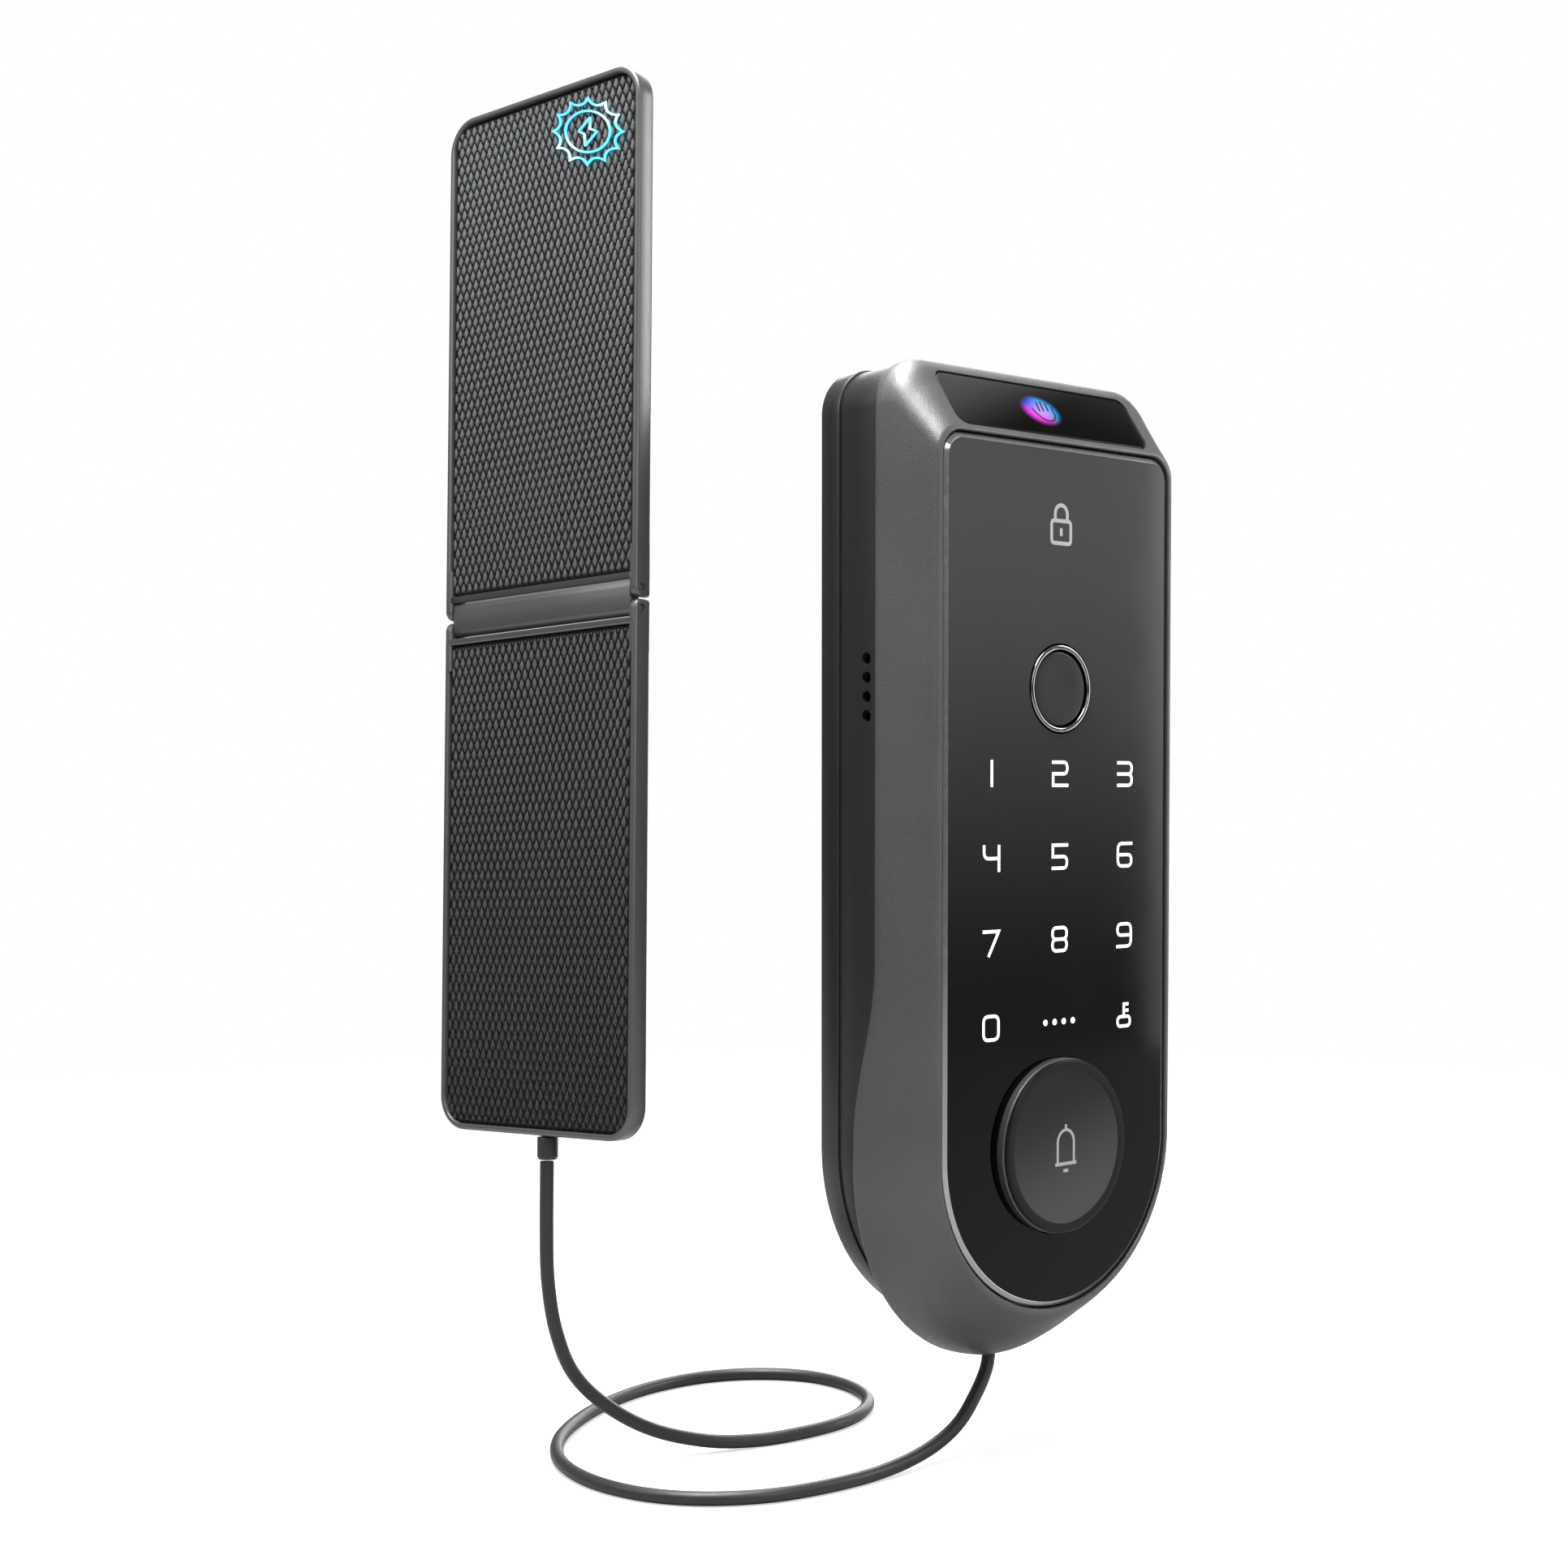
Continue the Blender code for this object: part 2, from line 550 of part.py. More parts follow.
def smooth_path(route, count):
    """Equally spaced points on the Catmull-Rom curve through the route."""
    padded = np.vstack((2 * route[0] - route[1], route, 2 * route[-1] - route[-2]))
    share = np.linspace(0, 1, 12, endpoint=False)[:, None]
    dense = []
    for before, start, end, after in zip(padded, padded[1:], padded[2:], padded[3:]):
        bend = 2 * start + (end - before) * share
        bend = bend + (2 * before - 5 * start + 4 * end - after) * share**2
        bend = bend + (3 * start - before - 3 * end + after) * share**3
        dense.append(bend / 2)
    dense = np.vstack(dense + [route[-1:]])
    steps = np.linalg.norm(np.diff(dense, axis=0), axis=1)
    run = np.concatenate(([0], np.cumsum(steps)))
    wanted = np.linspace(0, run[-1], count)
    return np.column_stack([np.interp(wanted, run, dense[:, axis]) for axis in range(3)])


def leaf_outline(width, corner, foot, end):
    """A leaf seen from the front: round corners at its free end, foot, and square ones at its hinge end."""
    half = width / 2
    up = 1 if end > foot else -1
    points = [(half, end), (-half, end)]
    middle = foot + up * corner
    points += [
        (corner - half - corner * math.sin(a), middle - up * corner * math.cos(a))
        for a in np.radians(np.linspace(90, 0, BEND + 1))
    ]
    points += [
        (half - corner + corner * math.sin(a), middle - up * corner * math.cos(a))
        for a in np.radians(np.linspace(0, 90, BEND + 1))
    ]
    return points


def cheek_mesh(x, pin, up):
    """A hinge cheek: round about its pin in front, where the leaf turns, and square behind, where it stops."""
    side = [(0, pin - up * 9 * MM), (0, pin)]
    side += [
        (PIN_DEPTH - PIN_DEPTH * math.cos(a), pin + up * PIN_DEPTH * math.sin(a))
        for a in np.radians(np.linspace(15, 90, BEND))
    ]
    side += [(LEAF_THICK, pin + up * PIN_DEPTH), (LEAF_THICK, pin - up * 9 * MM)]
    mesh = slab([side], -CHEEK / 2, CHEEK / 2)
    mesh.transform(Matrix.Rotation(math.pi / 2, 4, "Z"))
    mesh.transform(Matrix.Translation((x, 0, 0)))
    return mesh


def make_leaf(prefix, foot, up, parent, shift=(0, 0, 0)):
    """One leaf of the panel: a shallow metal tray with its cheeks and pins, and the cell in it.

    foot is the height of its free end in the panel's frame, and up is 1 where its hinge is above it.
    shift is the panel's frame as its parent sees it.
    """
    body_end = HINGE_Z - up * BODY_END
    pin = HINGE_Z - up * PIN_OFFSET
    outline = leaf_outline(LEAF_WIDTH, LEAF_CORNER, foot, body_end)
    tray = add(f"{prefix}_leaf_frame", slab([outline], 0, LEAF_THICK), ALLOY, parent, shift)
    for name, x in (("left", CHEEK / 2 - LEAF_WIDTH / 2), ("right", LEAF_WIDTH / 2 - CHEEK / 2)):
        cut(tray, f"{prefix}_{name}_cheek", cheek_mesh(x, pin, up), parent, shift, operation="UNION")
    well = leaf_outline(
        LEAF_WIDTH - 2 * RIM, LEAF_CORNER - RIM, foot + up * RIM, body_end - up * RIM
    )
    cut(tray, f"{prefix}_well", slab([well], -1 * MM, CELL_DEPTH), parent, shift)
    pane = leaf_outline(
        LEAF_WIDTH - 2 * RIM - 2 * GAP, LEAF_CORNER - RIM - GAP,
        foot + up * (RIM + GAP), body_end - up * (RIM + GAP),
    )
    add(f"{prefix}_solar_cell", slab([pane], 0.3 * MM, CELL_DEPTH - GAP), CELL, parent, shift)
    for name, side in (("left", -1), ("right", 1)):
        outer = Vector((side * (LEAF_WIDTH / 2), PIN_DEPTH, pin))
        inner = outer - Vector((side * PIN_LENGTH, 0, 0))
        hole = rod(PIN_RADIUS + PIN_RUN, outer + (outer - inner), inner, 20)
        cut(tray, f"{prefix}_{name}_pin_hole", hole, parent, shift)
        pin_mesh = rod(PIN_RADIUS, outer, inner, 20)
        add(f"{prefix}_hinge_pin_{name}", pin_mesh, STEEL, parent, shift)
    return tray


def make_panel():
    """The folding panel: the lower leaf is fixed, the bar turns on it, the upper leaf turns on the bar."""
    frame = add_empty("panel_frame")
    turn = Matrix.Rotation(PANEL_TURN, 4, "Z") @ Matrix.Rotation(PANEL_LEAN, 4, "X")
    frame.matrix_world = Matrix.Translation(PANEL_FOOT) @ turn @ Matrix.Rotation(PANEL_ROLL, 4, "Y")
    lower_axis = add_empty("hinge_bar_axis", frame, (0, PIN_DEPTH, HINGE_Z - PIN_OFFSET))
    upper_axis = add_empty("upper_leaf_axis", lower_axis, (0, 0, 2 * PIN_OFFSET))

    lower = make_leaf("lower", 0, 1, frame)
    make_leaf("upper", 2 * HINGE_Z, -1, upper_axis, (0, -PIN_DEPTH, -HINGE_Z - PIN_OFFSET))

    stem = rod(1.4 * MM, (GLAND_X, LEAF_THICK / 2, -1 * MM), (GLAND_X, LEAF_THICK / 2, 1.1 * MM))
    cut(lower, "gland_seat", stem, frame)
    profile = [(0, 0.9), (1.2, 0.9), (1.2, -0.25), (1.85, -0.25), (2, -0.4), (2, -4.5), (0, -4.5)]
    turned(
        "panel_gland", profile, SEAL, (GLAND_X, LEAF_THICK / 2, 0), parent=frame, tilt=0, steps=16
    )
    well = box((-12 * MM, 1 * MM, 6 * MM), (12 * MM, 3.1 * MM, 20 * MM))
    cut(lower, "board_well", well, frame)
    board = box((-11 * MM, 2 * MM, 7 * MM), (11 * MM, 2.8 * MM, 19 * MM))
    add("charge_board", board, CIRCUIT, frame)
    pad = rounded(40 * MM, 76 * MM, 0, 50 * MM, 3 * MM)
    add("adhesive_pad", slab([pad], LEAF_THICK + 0.1 * MM, LEAF_THICK + 0.9 * MM), FOAM, frame)
    make_hinge_bar(lower_axis)


def make_hinge_bar(axis):
    """The bar between the leaves, round about both pins."""
    reach = LEAF_WIDTH / 2 - CHEEK - 0.25 * MM
    top = 2 * PIN_OFFSET
    side = arc(0, top, BAR_RADIUS, BAR_RADIUS, 0, 180, 10)
    side += arc(0, 0, BAR_RADIUS, BAR_RADIUS, 180, 360, 10)
    mesh = slab([side], -reach, reach)
    mesh.transform(Matrix.Rotation(math.pi / 2, 4, "Z"))
    bar = add("hinge_bar", mesh, ALLOY, axis)
    for level, z in (("lower", 0), ("upper", top)):
        for name, side in (("left", -1), ("right", 1)):
            start = (side * (LEAF_WIDTH / 2), 0, z)
            end = (side * (LEAF_WIDTH / 2 - PIN_LENGTH - 0.3 * MM), 0, z)
            hole = rod(PIN_RADIUS + PIN_RUN, start, end, 20)
            cut(bar, f"{level}_{name}_bar_hole", hole, axis)


make_front_housing()
make_mid_housing()
make_back_plate()
make_glass()
make_keypad()
make_fingerprint_reader()
make_doorbell()
make_reader()
make_inside()
make_lead_ends()
make_lead()
make_panel()
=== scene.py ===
"""Keypad smart lock with a folding solar panel: its finished surfaces, finishes, lights and camera.

Laid out as an add-on and run as a script. Shapes are in millimetres until a piece is made, which
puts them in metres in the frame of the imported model: the lock's round end is centred on the
origin, its keypad faces -Y and +Z is up. Panel shapes are worked out in the panel's own frame.
"""

import json
import math

import bmesh
import bpy
import numpy as np
from bpy.props import FloatProperty, FloatVectorProperty, PointerProperty
from mathutils import Matrix, Vector


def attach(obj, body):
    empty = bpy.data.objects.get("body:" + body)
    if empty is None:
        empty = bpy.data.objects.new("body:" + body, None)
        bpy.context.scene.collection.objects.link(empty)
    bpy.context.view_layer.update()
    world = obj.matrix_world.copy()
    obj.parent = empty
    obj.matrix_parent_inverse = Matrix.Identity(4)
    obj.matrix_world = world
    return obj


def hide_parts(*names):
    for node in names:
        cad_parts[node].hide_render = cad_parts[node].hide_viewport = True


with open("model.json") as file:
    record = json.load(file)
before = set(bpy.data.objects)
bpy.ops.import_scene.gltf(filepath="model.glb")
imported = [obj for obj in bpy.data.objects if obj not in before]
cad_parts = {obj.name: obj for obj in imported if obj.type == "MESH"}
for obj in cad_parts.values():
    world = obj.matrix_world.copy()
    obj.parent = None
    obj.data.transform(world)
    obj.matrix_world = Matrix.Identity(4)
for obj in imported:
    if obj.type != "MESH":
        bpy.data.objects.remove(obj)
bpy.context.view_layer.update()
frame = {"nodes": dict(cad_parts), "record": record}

bl_info = {
    "name": "Keypad smart lock",
    "version": (1, 0, 0),
    "blender": (4, 5, 0),
    "location": "3D View > Sidebar > Smart lock",
    "description": "Builds the finished surfaces of a keypad smart lock and its solar panel",
    "category": "Object",
}

MM = 0.001

# Lock, mm
DEPTH = 28.8  # glass face to door face
PLATE_DEPTH = 5.2
PLATE = (36.5, 149.4, 9.0, 37.7)  # half width, top, corner, drop
MID_INSET = 0.4
CAVITY = (33.0, 139.5, 6.0, 29.0)
SIDE_END, CHIN_SWEEP, BELOW_SWEEP = 13.5, 5.9, 2.4
SWEEP_TOP, SWEEP_FOOT, CHIN = 36.0, 2.0, 44.0
GLASS = (31.35, 135.0, 4.5, 31.35)
GLASS_THICK = 1.8
GLASS_GAP = 0.35
LEDGE = 2.6
WINDOW_TILT = math.radians(34.8)
WINDOW_CENTRE = np.array((0, -24.3, 142.2))
WINDOW = (53.0, 12.7, 2.2)  # width, height, corner
SENSOR_Z = 88.4
SENSOR_RING, BELL_RING = 8.5, 17.0  # outer radii
CAP_RADIUS, CAP_RISE = 14.8, 2.2  # the dished disc of the doorbell cap, and its height over the glass
SCREWS = ((-25, 143.2, 20), (25, 143.2, 20), (-15.5, -26, 16), (15.5, -26, 16))  # x, z, depth of tip
BUSHING_X = 21
HARNESS_Z = 24
PRINT_REAR = 0.02 - DEPTH  # marks end this little way inside the glass
SPEAKER_Y = -12.7
SPEAKER_HEIGHTS = (93.6, 90.0, 86.4, 82.8)
LEAD_RADIUS = 1.35
SOCKET_Y = -10.2

# Front housing from the glass back: share of its depth, half width, top, corner, drop
HOUSING = np.array((
    (0.000, 32.30, 135.75, 4.9, 32.4),
    (0.004, 32.62, 136.0, 5.0, 32.8),
    (0.026, 33.02, 136.4, 5.2, 33.5),
    (0.220, 33.75, 140.0, 6.3, 36.9),
    (0.450, 34.60, 144.4, 7.6, 40.6),
    (0.670, 35.45, 148.5, 8.8, 43.3),
    (0.790, 35.90, 149.7, 9.4, 44.0),
    (0.930, 36.40, 150.1, 9.9, 44.2),
    (0.980, 36.50, 150.1, 10.0, 43.9),
    (1.000, 36.30, 149.9, 9.9, 43.5),
))

# Panel, mm, in its own frame: x right, y back from the front face, z up
PANEL_FOOT = (-83.9, 28.8, 3.5)
PANEL_TURN, PANEL_LEAN, PANEL_ROLL = (math.radians(a) for a in (-81.6, -3.35, -2.5))
LEAF_HALF, LEAF_THICK, LEAF_CORNER = 26.5, 4.1, 6.5
RIM = 1.2
RIM_ROUND = 0.6  # how far in a tray's round front edge turns flat
REAR_ROUND = 0.7  # radius of a tray's rear edge
HINGE_Z, BODY_END, PIN_OFFSET, PIN_DEPTH, PIN_RADIUS = 100.1, 3.6, 1.95, 1.75, 0.6
CHEEK, CHEEK_LENGTH = 1.7, 8
CELL_FRONT, CELL_BACK = 0.35, 1.6
LOZENGE = (1.8, 3.65)  # pitch across and up
MARK_CENTRE = (12.56, 189.76)
MARK_STRETCH = 1.48  # the lit mark is drawn wider than it is tall,
MARK_SLANT = 0.233  # and falls this much for each millimetre to the right

# The lead's centre line, mm
LEAD_ROUTE = (
    (-81.9, 26.6, -1.3), (-82.1, 26.4, -6), (-82.2, 26.4, -14), (-81.8, 26.6, -24),
    (-79.6, 27.2, -34), (-75.2, 27.6, -43.2), (-67.6, 26.8, -50.8), (-57.8, 24.8, -56.8),
    (-46.5, 21.8, -60.4), (-36.5, 18.9, -61.5), (-27, 17, -61.5), (-15.5, 17.3, -61.5),
    (-5.8, 20.8, -61.5), (1.8, 27.8, -61.5), (5.4, 38, -61.5), (4.2, 49, -61.5),
    (-2.8, 58.2, -61.5), (-13.5, 63.8, -61.5), (-27, 64.8, -61.5), (-41, 61.4, -61.5),
    (-55, 54.2, -61.5), (-67, 44.4, -61.5), (-74.8, 32.5, -61.5), (-77.6, 19.3, -61.5),
    (-75.4, 6.8, -61.5), (-68.8, -3, -61.5), (-58, -10, -61.5), (-45, -12.9, -61.5),
    (-31.5, -13.2, -61.3), (-20, -13, -59.6), (-11.3, -12.6, -56.2), (-5, -11.6, -51.2),
    (-1, -10.5, -47), (0, -10.2, -43.5),
)
LEAD_POINTS = 260
FLOOR_Z = -62.9

# Numerals: strokes in a box from -1 to 1, as x, z and 1 where the corner is round
GLYPHS = {
    "1": [((0, 1, 0), (0, -1, 0))],
    "2": [((-1, 1, 0), (1, 1, 1), (1, 0, 1), (-1, 0, 0), (-1, -1, 0), (1, -1, 0))],
    "3": [((-1, 1, 0), (1, 1, 1), (1, 0, 1), (-1, 0, 0)), ((-1, 0, 0), (1, 0, 1), (1, -1, 1), (-1, -1, 0))],
    "4": [((-1, 1, 0), (-1, 0, 1), (1, 0, 0)), ((1, 1, 0), (1, -1, 0))],
    "5": [((1, 1, 0), (-1, 1, 0), (-1, 0, 0), (1, 0, 1), (1, -1, 1), (-1, -1, 0))],
    "6": [((1, 1, 0), (-1, 1, 1), (-1, -1, 1), (1, -1, 1), (1, 0, 1), (-1, 0, 0))],
    "7": [((-1, 1, 0), (1, 1, 0), (-0.3, -1, 0))],
    "8": [((-1, 1, 1), (1, 1, 1), (1, 0, 1), (-1, 0, 1), "loop"),
          ((-1, 0, 1), (1, 0, 1), (1, -1, 1), (-1, -1, 1), "loop")],
    "9": [((-1, -1, 0), (1, -1, 1), (1, 1, 1), (-1, 1, 1), (-1, 0, 1), (1, 0, 0))],
    "0": [((-1, 1, 1), (1, 1, 1), (1, -1, 1), (-1, -1, 1), "loop")],
}
KEYS = (("1", -1, 0), ("2", 0, 0), ("3", 1, 0), ("4", -1, 1), ("5", 0, 1), ("6", 1, 1),
        ("7", -1, 2), ("8", 0, 2), ("9", 1, 2), ("0", -1, 3))


# ---------------------------------------------------------------- sizes and colours


def length(name, description, default):
    return FloatProperty(name=name, description=description, default=default, unit="LENGTH",
                         precision=5, min=0)


def colour(name, description, default):
    return FloatVectorProperty(name=name, description=description, default=default, size=3,
                               subtype="COLOR", min=0, max=1)


class LockSizes(bpy.types.PropertyGroup):
    """Sizes of the lock's surface detail."""

    glass_chamfer: length("Glass chamfer", "Width of the polished edge round the glass", 0.00095)
    numeral_height: length("Numeral height", "Height of the lit numerals", 0.0051)
    numeral_width: length("Numeral width", "Width of the lit numerals", 0.00465)
    numeral_stroke: length("Numeral stroke", "Width of each numeral's line", 0.00064)
    key_pitch_x: length("Key pitch across", "Distance between key columns", 0.0189)
    key_pitch_z: length("Key pitch up", "Distance between key rows", 0.016)
    key_top: length("Top key row", "Height of the top row of keys", 0.072)
    cap_dish: length("Cap dish", "How deep the doorbell cap is dished", 0.00035)


class PanelSizes(bpy.types.PropertyGroup):
    """Sizes of the panel's surface detail."""

    lozenge_depth: length("Lozenge depth", "How far each lozenge stands above its groove", 0.0005)
    frame_edge: length("Frame edge", "Radius of the frame's front edge", 0.0006)
    mark_stroke: length("Mark stroke", "Width of the lit mark's line", 0.00037)


class LockColours(bpy.types.PropertyGroup):
    """Colours of the finishes."""

    cast: colour("Cast housing", "Satin paint of the front housing", (0.09, 0.09, 0.092))
    moulded: colour("Moulded housing", "Middle section", (0.011, 0.011, 0.0113))
    plated: colour("Back plate", "Plated steel", (0.048, 0.048, 0.05))
    glass: colour("Cover glass", "Print behind the glass", (0.012, 0.012, 0.012))
    alloy: colour("Panel alloy", "Anodised frames", (0.1, 0.101, 0.104))
    cell: colour("Cell film", "Embossed film over the cells", (0.105, 0.11, 0.112))
    lead: colour("Lead", "Jacket of the lead", (0.016, 0.016, 0.0165))
    floor: colour("Floor", "Studio floor", (0.9, 0.9, 0.9))


class StageSettings(bpy.types.PropertyGroup):
    """Lights."""

    power: FloatProperty(name="Light", description="Strength of all lights together", default=1.0, min=0)


# ---------------------------------------------------------------- surfaces


def spaced(start, stop, count):
    return np.linspace(start, stop, count)


def arc(centre, radii, start, end, count):
    """Points of an elliptical arc: centre plus radii times the cosine and sine of each angle."""
    angles = np.radians(spaced(start, end, count))
    return np.column_stack((centre[0] + radii[0] * np.cos(angles), centre[1] + radii[1] * np.sin(angles)))


def lock_outline(half, top, corner, drop):
    """The lock seen from the front, as x and z: below z = 0 the half ellipse half cos a, drop sin a,
    then straight sides, quarter-circle corners and a flat top. Every outline has the same count."""
    rise = np.concatenate((spaced(0, 42, 36)[1:], spaced(42, top - corner, 14)[1:]))
    side = np.column_stack((np.full(rise.size, half), rise))
    over = spaced(half - corner, corner - half, 15)[1:-1]
    lid = np.column_stack((over, np.full(over.size, top)))
    return np.vstack((
        arc((0, 0), (half, drop), 180, 360, 97),
        side[:-1],
        arc((half - corner, top - corner), (corner, corner), 0, 90, 17),
        lid,
        arc((corner - half, top - corner), (corner, corner), 90, 180, 17),
        (side * (-1, 1))[::-1][1:],
    ))


def drawn_in(outline, distance):
    """The four numbers of a lock outline, drawn in by distance."""
    half, top, corner, drop = outline
    return half - distance, top - distance, max(corner - distance, 0.8), drop - distance


def box_outline(width, height, corner, centre=(0, 0), count=9):
    """A rectangle with quarter-circle corners, as points of its plane."""
    x, z = width / 2 - corner, height / 2 - corner
    return np.vstack([
        arc((centre[0] + side_x * x, centre[1] + side_z * z), (corner, corner), start, start + 90, count)
        for side_x, side_z, start in ((1, 1, 0), (-1, 1, 90), (-1, -1, 180), (1, -1, 270))
    ])


def housing_end(z):
    """Depth of the front housing's rear edge at height z: a smooth step from its sides to its chin,
    and a straight run on below z = 0."""
    share = np.clip((SWEEP_TOP - z) / (SWEEP_TOP - SWEEP_FOOT), 0, 1)
    return SIDE_END + CHIN_SWEEP * share**2 * (3 - 2 * share) + BELOW_SWEEP * np.maximum(-z / CHIN, 0)


def ring(outline, depth):
    """An outline placed at a depth behind the glass face, which may depend on its height."""
    points = lock_outline(*outline)
    back = depth(points[:, 1]) if callable(depth) else np.full(len(points), depth)
    return np.column_stack((points[:, 0], back - DEPTH, points[:, 1]))


def smooth_rows(table, count):
    """Rows of the table at even steps of its first column, on the cubic through its rows whose slope
    at each row is 2ab / (a + b), with a and b the slopes either side, or nothing where they differ in
    sign, so that it never swings past a row."""
    run, values = table[:, 0], table[:, 1:]
    chords = np.diff(values, axis=0) / np.diff(run)[:, None]
    product, total = chords[:-1] * chords[1:], chords[:-1] + chords[1:]
    inner = np.where(product > 0, 2 * product / np.where(total == 0, 1, total), 0)
    slopes = np.vstack((chords[:1], inner, chords[-1:]))
    wanted = np.unique(np.concatenate((spaced(run[0], run[-1], count), run)))
    index = np.clip(np.searchsorted(run, wanted, "right") - 1, 0, len(run) - 2)
    gap = (run[index + 1] - run[index])[:, None]
    t = ((wanted - run[index])[:, None]) / gap
    low, high = values[index], values[index + 1]
    made = (
        (2 * t**3 - 3 * t**2 + 1) * low + (t**3 - 2 * t**2 + t) * gap * slopes[index]
        + (3 * t**2 - 2 * t**3) * high + (t**3 - t**2) * gap * slopes[index + 1]
    )
    return wanted, made


def rounded(path, radius, closed=False, steps=7):
    """A path with rounded corners: corner P between A and B becomes the curve
    (1-t)^2 S + 2t(1-t) P + t^2 E, where S and E lie radius from P towards A and B, or just under half
    way where that is nearer. radius may be one number for each corner."""
    points = np.asarray(path, float)
    before, after = np.roll(points, 1, 0) - points, np.roll(points, -1, 0) - points
    far_before, far_after = (np.linalg.norm(v, axis=1) for v in (before, after))
    reach = np.broadcast_to(radius, len(points)).astype(float).copy()
    reach = np.minimum(reach, 0.499 * np.minimum(far_before, far_after))
    if not closed:
        reach[[0, -1]] = 0
    start = points + before / far_before[:, None] * reach[:, None]
    end = points + after / far_after[:, None] * reach[:, None]
    t = spaced(0, 1, steps)[None, :, None]
    curve = (1 - t) ** 2 * start[:, None] + 2 * t * (1 - t) * points[:, None] + t**2 * end[:, None]
    curve = curve.reshape(-1, points.shape[1])
    step = np.linalg.norm(np.diff(curve, axis=0, prepend=curve[-1:] if closed else curve[:1] - 1), axis=1)
    return curve[step > 1e-6]


def skin(rings, joined=False, caps=True):
    """Quads between rings of equal count. The ends are closed by one face each, or joined is True
    where the last ring meets the first."""
    rings = np.asarray(rings, float)
    rows, count = rings.shape[:2]
    index = np.arange(rows * count).reshape(rows, count)
    if joined:
        index = np.vstack((index, index[:1]))
    a, b = index[:-1], index[1:]
    quads = np.stack((a, np.roll(a, -1, 1), np.roll(b, -1, 1), b), axis=-1).reshape(-1, 4)
    faces = quads.tolist()
    if caps and not joined:
        faces += [index[0].tolist(), index[-1][::-1].tolist()]
    return rings.reshape(-1, 3), faces


def together(*shapes):
    """Several shapes as one."""
    points, faces, offset = [], [], 0
    for some, their in shapes:
        points.append(some)
        faces += [[i + offset for i in face] for face in their]
        offset += len(some)
    return np.vstack(points), faces


def turned(profile, centre, axis="y", steps=96, around=None, joined=False):
    """A profile of radius and height turned about an axis: each point goes round as radius cos a,
    radius sin a. On the y axis height is counted forwards, on x and z along the axis. A joined
    profile is a closed loop clear of the axis."""
    profile = np.asarray(profile, float)
    angles = np.linspace(0, 2 * math.pi, steps, endpoint=False) if around is None else around
    across, up = profile[:, :1] * np.cos(angles), profile[:, :1] * np.sin(angles)
    along = np.broadcast_to(profile[:, 1:], across.shape)
    order = {"y": (across, -along, up), "z": (across, up, along), "x": (along, across, up)}[axis]
    return skin(np.stack(order, axis=-1) + np.asarray(centre, float), joined)


def strip(path, width, front, rear, closed=False):
    """A flat strip along a path of x and z. Each point moves half the width to either side along the
    mean of its neighbours' normals, lengthened by one over the cosine of half their angle."""
    path = np.asarray(path, float)
    ahead = np.roll(path, -1, 0) - path
    behind = path - np.roll(path, 1, 0)
    if not closed:
        ahead[-1], behind[0] = behind[-1], ahead[0]
    ahead, behind = (v / np.linalg.norm(v, axis=1)[:, None] for v in (ahead, behind))
    mean = ahead + behind
    mean /= np.linalg.norm(mean, axis=1)[:, None]
    mitre = np.clip((mean * ahead).sum(1), 0.45, 1)[:, None]
    side = np.column_stack((-mean[:, 1], mean[:, 0])) * width / 2 / mitre
    left, right = path + side, path - side
    rings = np.stack([
        np.column_stack((edge[:, 0], np.full(len(edge), depth), edge[:, 1]))
        for edge, depth in ((left, front), (right, front), (right, rear), (left, rear))
    ], axis=1)
    return skin(rings, joined=closed)


def shrunk(outline, inset):
    """An outline drawn in by inset on every side: scaled about its middle by (reach - inset) / reach
    each way."""
    middle, reach = (outline.max(0) + outline.min(0)) / 2, (outline.max(0) - outline.min(0)) / 2
    return middle + (outline - middle) * (reach - inset) / reach


def rounding(radius, angles):
    """An edge's quarter circle, as how far in and how far back it lies at each angle in degrees:
    radius (1 - sin a) and radius (1 - cos a)."""
    return [(radius * (1 - math.sin(a)), radius * (1 - math.cos(a))) for a in np.radians(angles)]


def plate(outline, front, rear, edge=0.0):
    """An outline of x and z as a plate from front to rear, its edges rounded by quarter circles that
    draw the outline towards its own middle."""
    outline = np.asarray(outline, float)
    edge_rows = rounding(edge, (0, 30, 60, 90) if edge else (90,))
    rows = [(inset, front + back) for inset, back in edge_rows]
    rows += [(inset, rear - back) for inset, back in edge_rows[::-1]]
    drawn = [(shrunk(outline, inset), depth) for inset, depth in rows]
    return skin([np.column_stack((d[:, 0], np.full(len(d), depth), d[:, 1])) for d, depth in drawn])


def printed(path, width, closed=False, proud=0.03):
    """A strip on the glass that stands proud of it by a hair."""
    return strip(path, width, -DEPTH - proud, PRINT_REAR, closed)


def tilted(shape, centre=WINDOW_CENTRE, angle=-WINDOW_TILT):
    """A shape turned about X and moved to centre."""
    points, faces = shape
    turn = np.array(Matrix.Rotation(angle, 3, "X"))
    return points @ turn.T + centre, faces


PANEL_MATRIX = (
    Matrix.Rotation(PANEL_TURN, 4, "Z") @ Matrix.Rotation(PANEL_LEAN, 4, "X")
    @ Matrix.Rotation(PANEL_ROLL, 4, "Y")
)


def on_panel(shape):
    """A shape of the panel's frame in the shared frame."""
    points, faces = shape
    return points @ np.array(PANEL_MATRIX.to_3x3()).T + PANEL_FOOT, faces


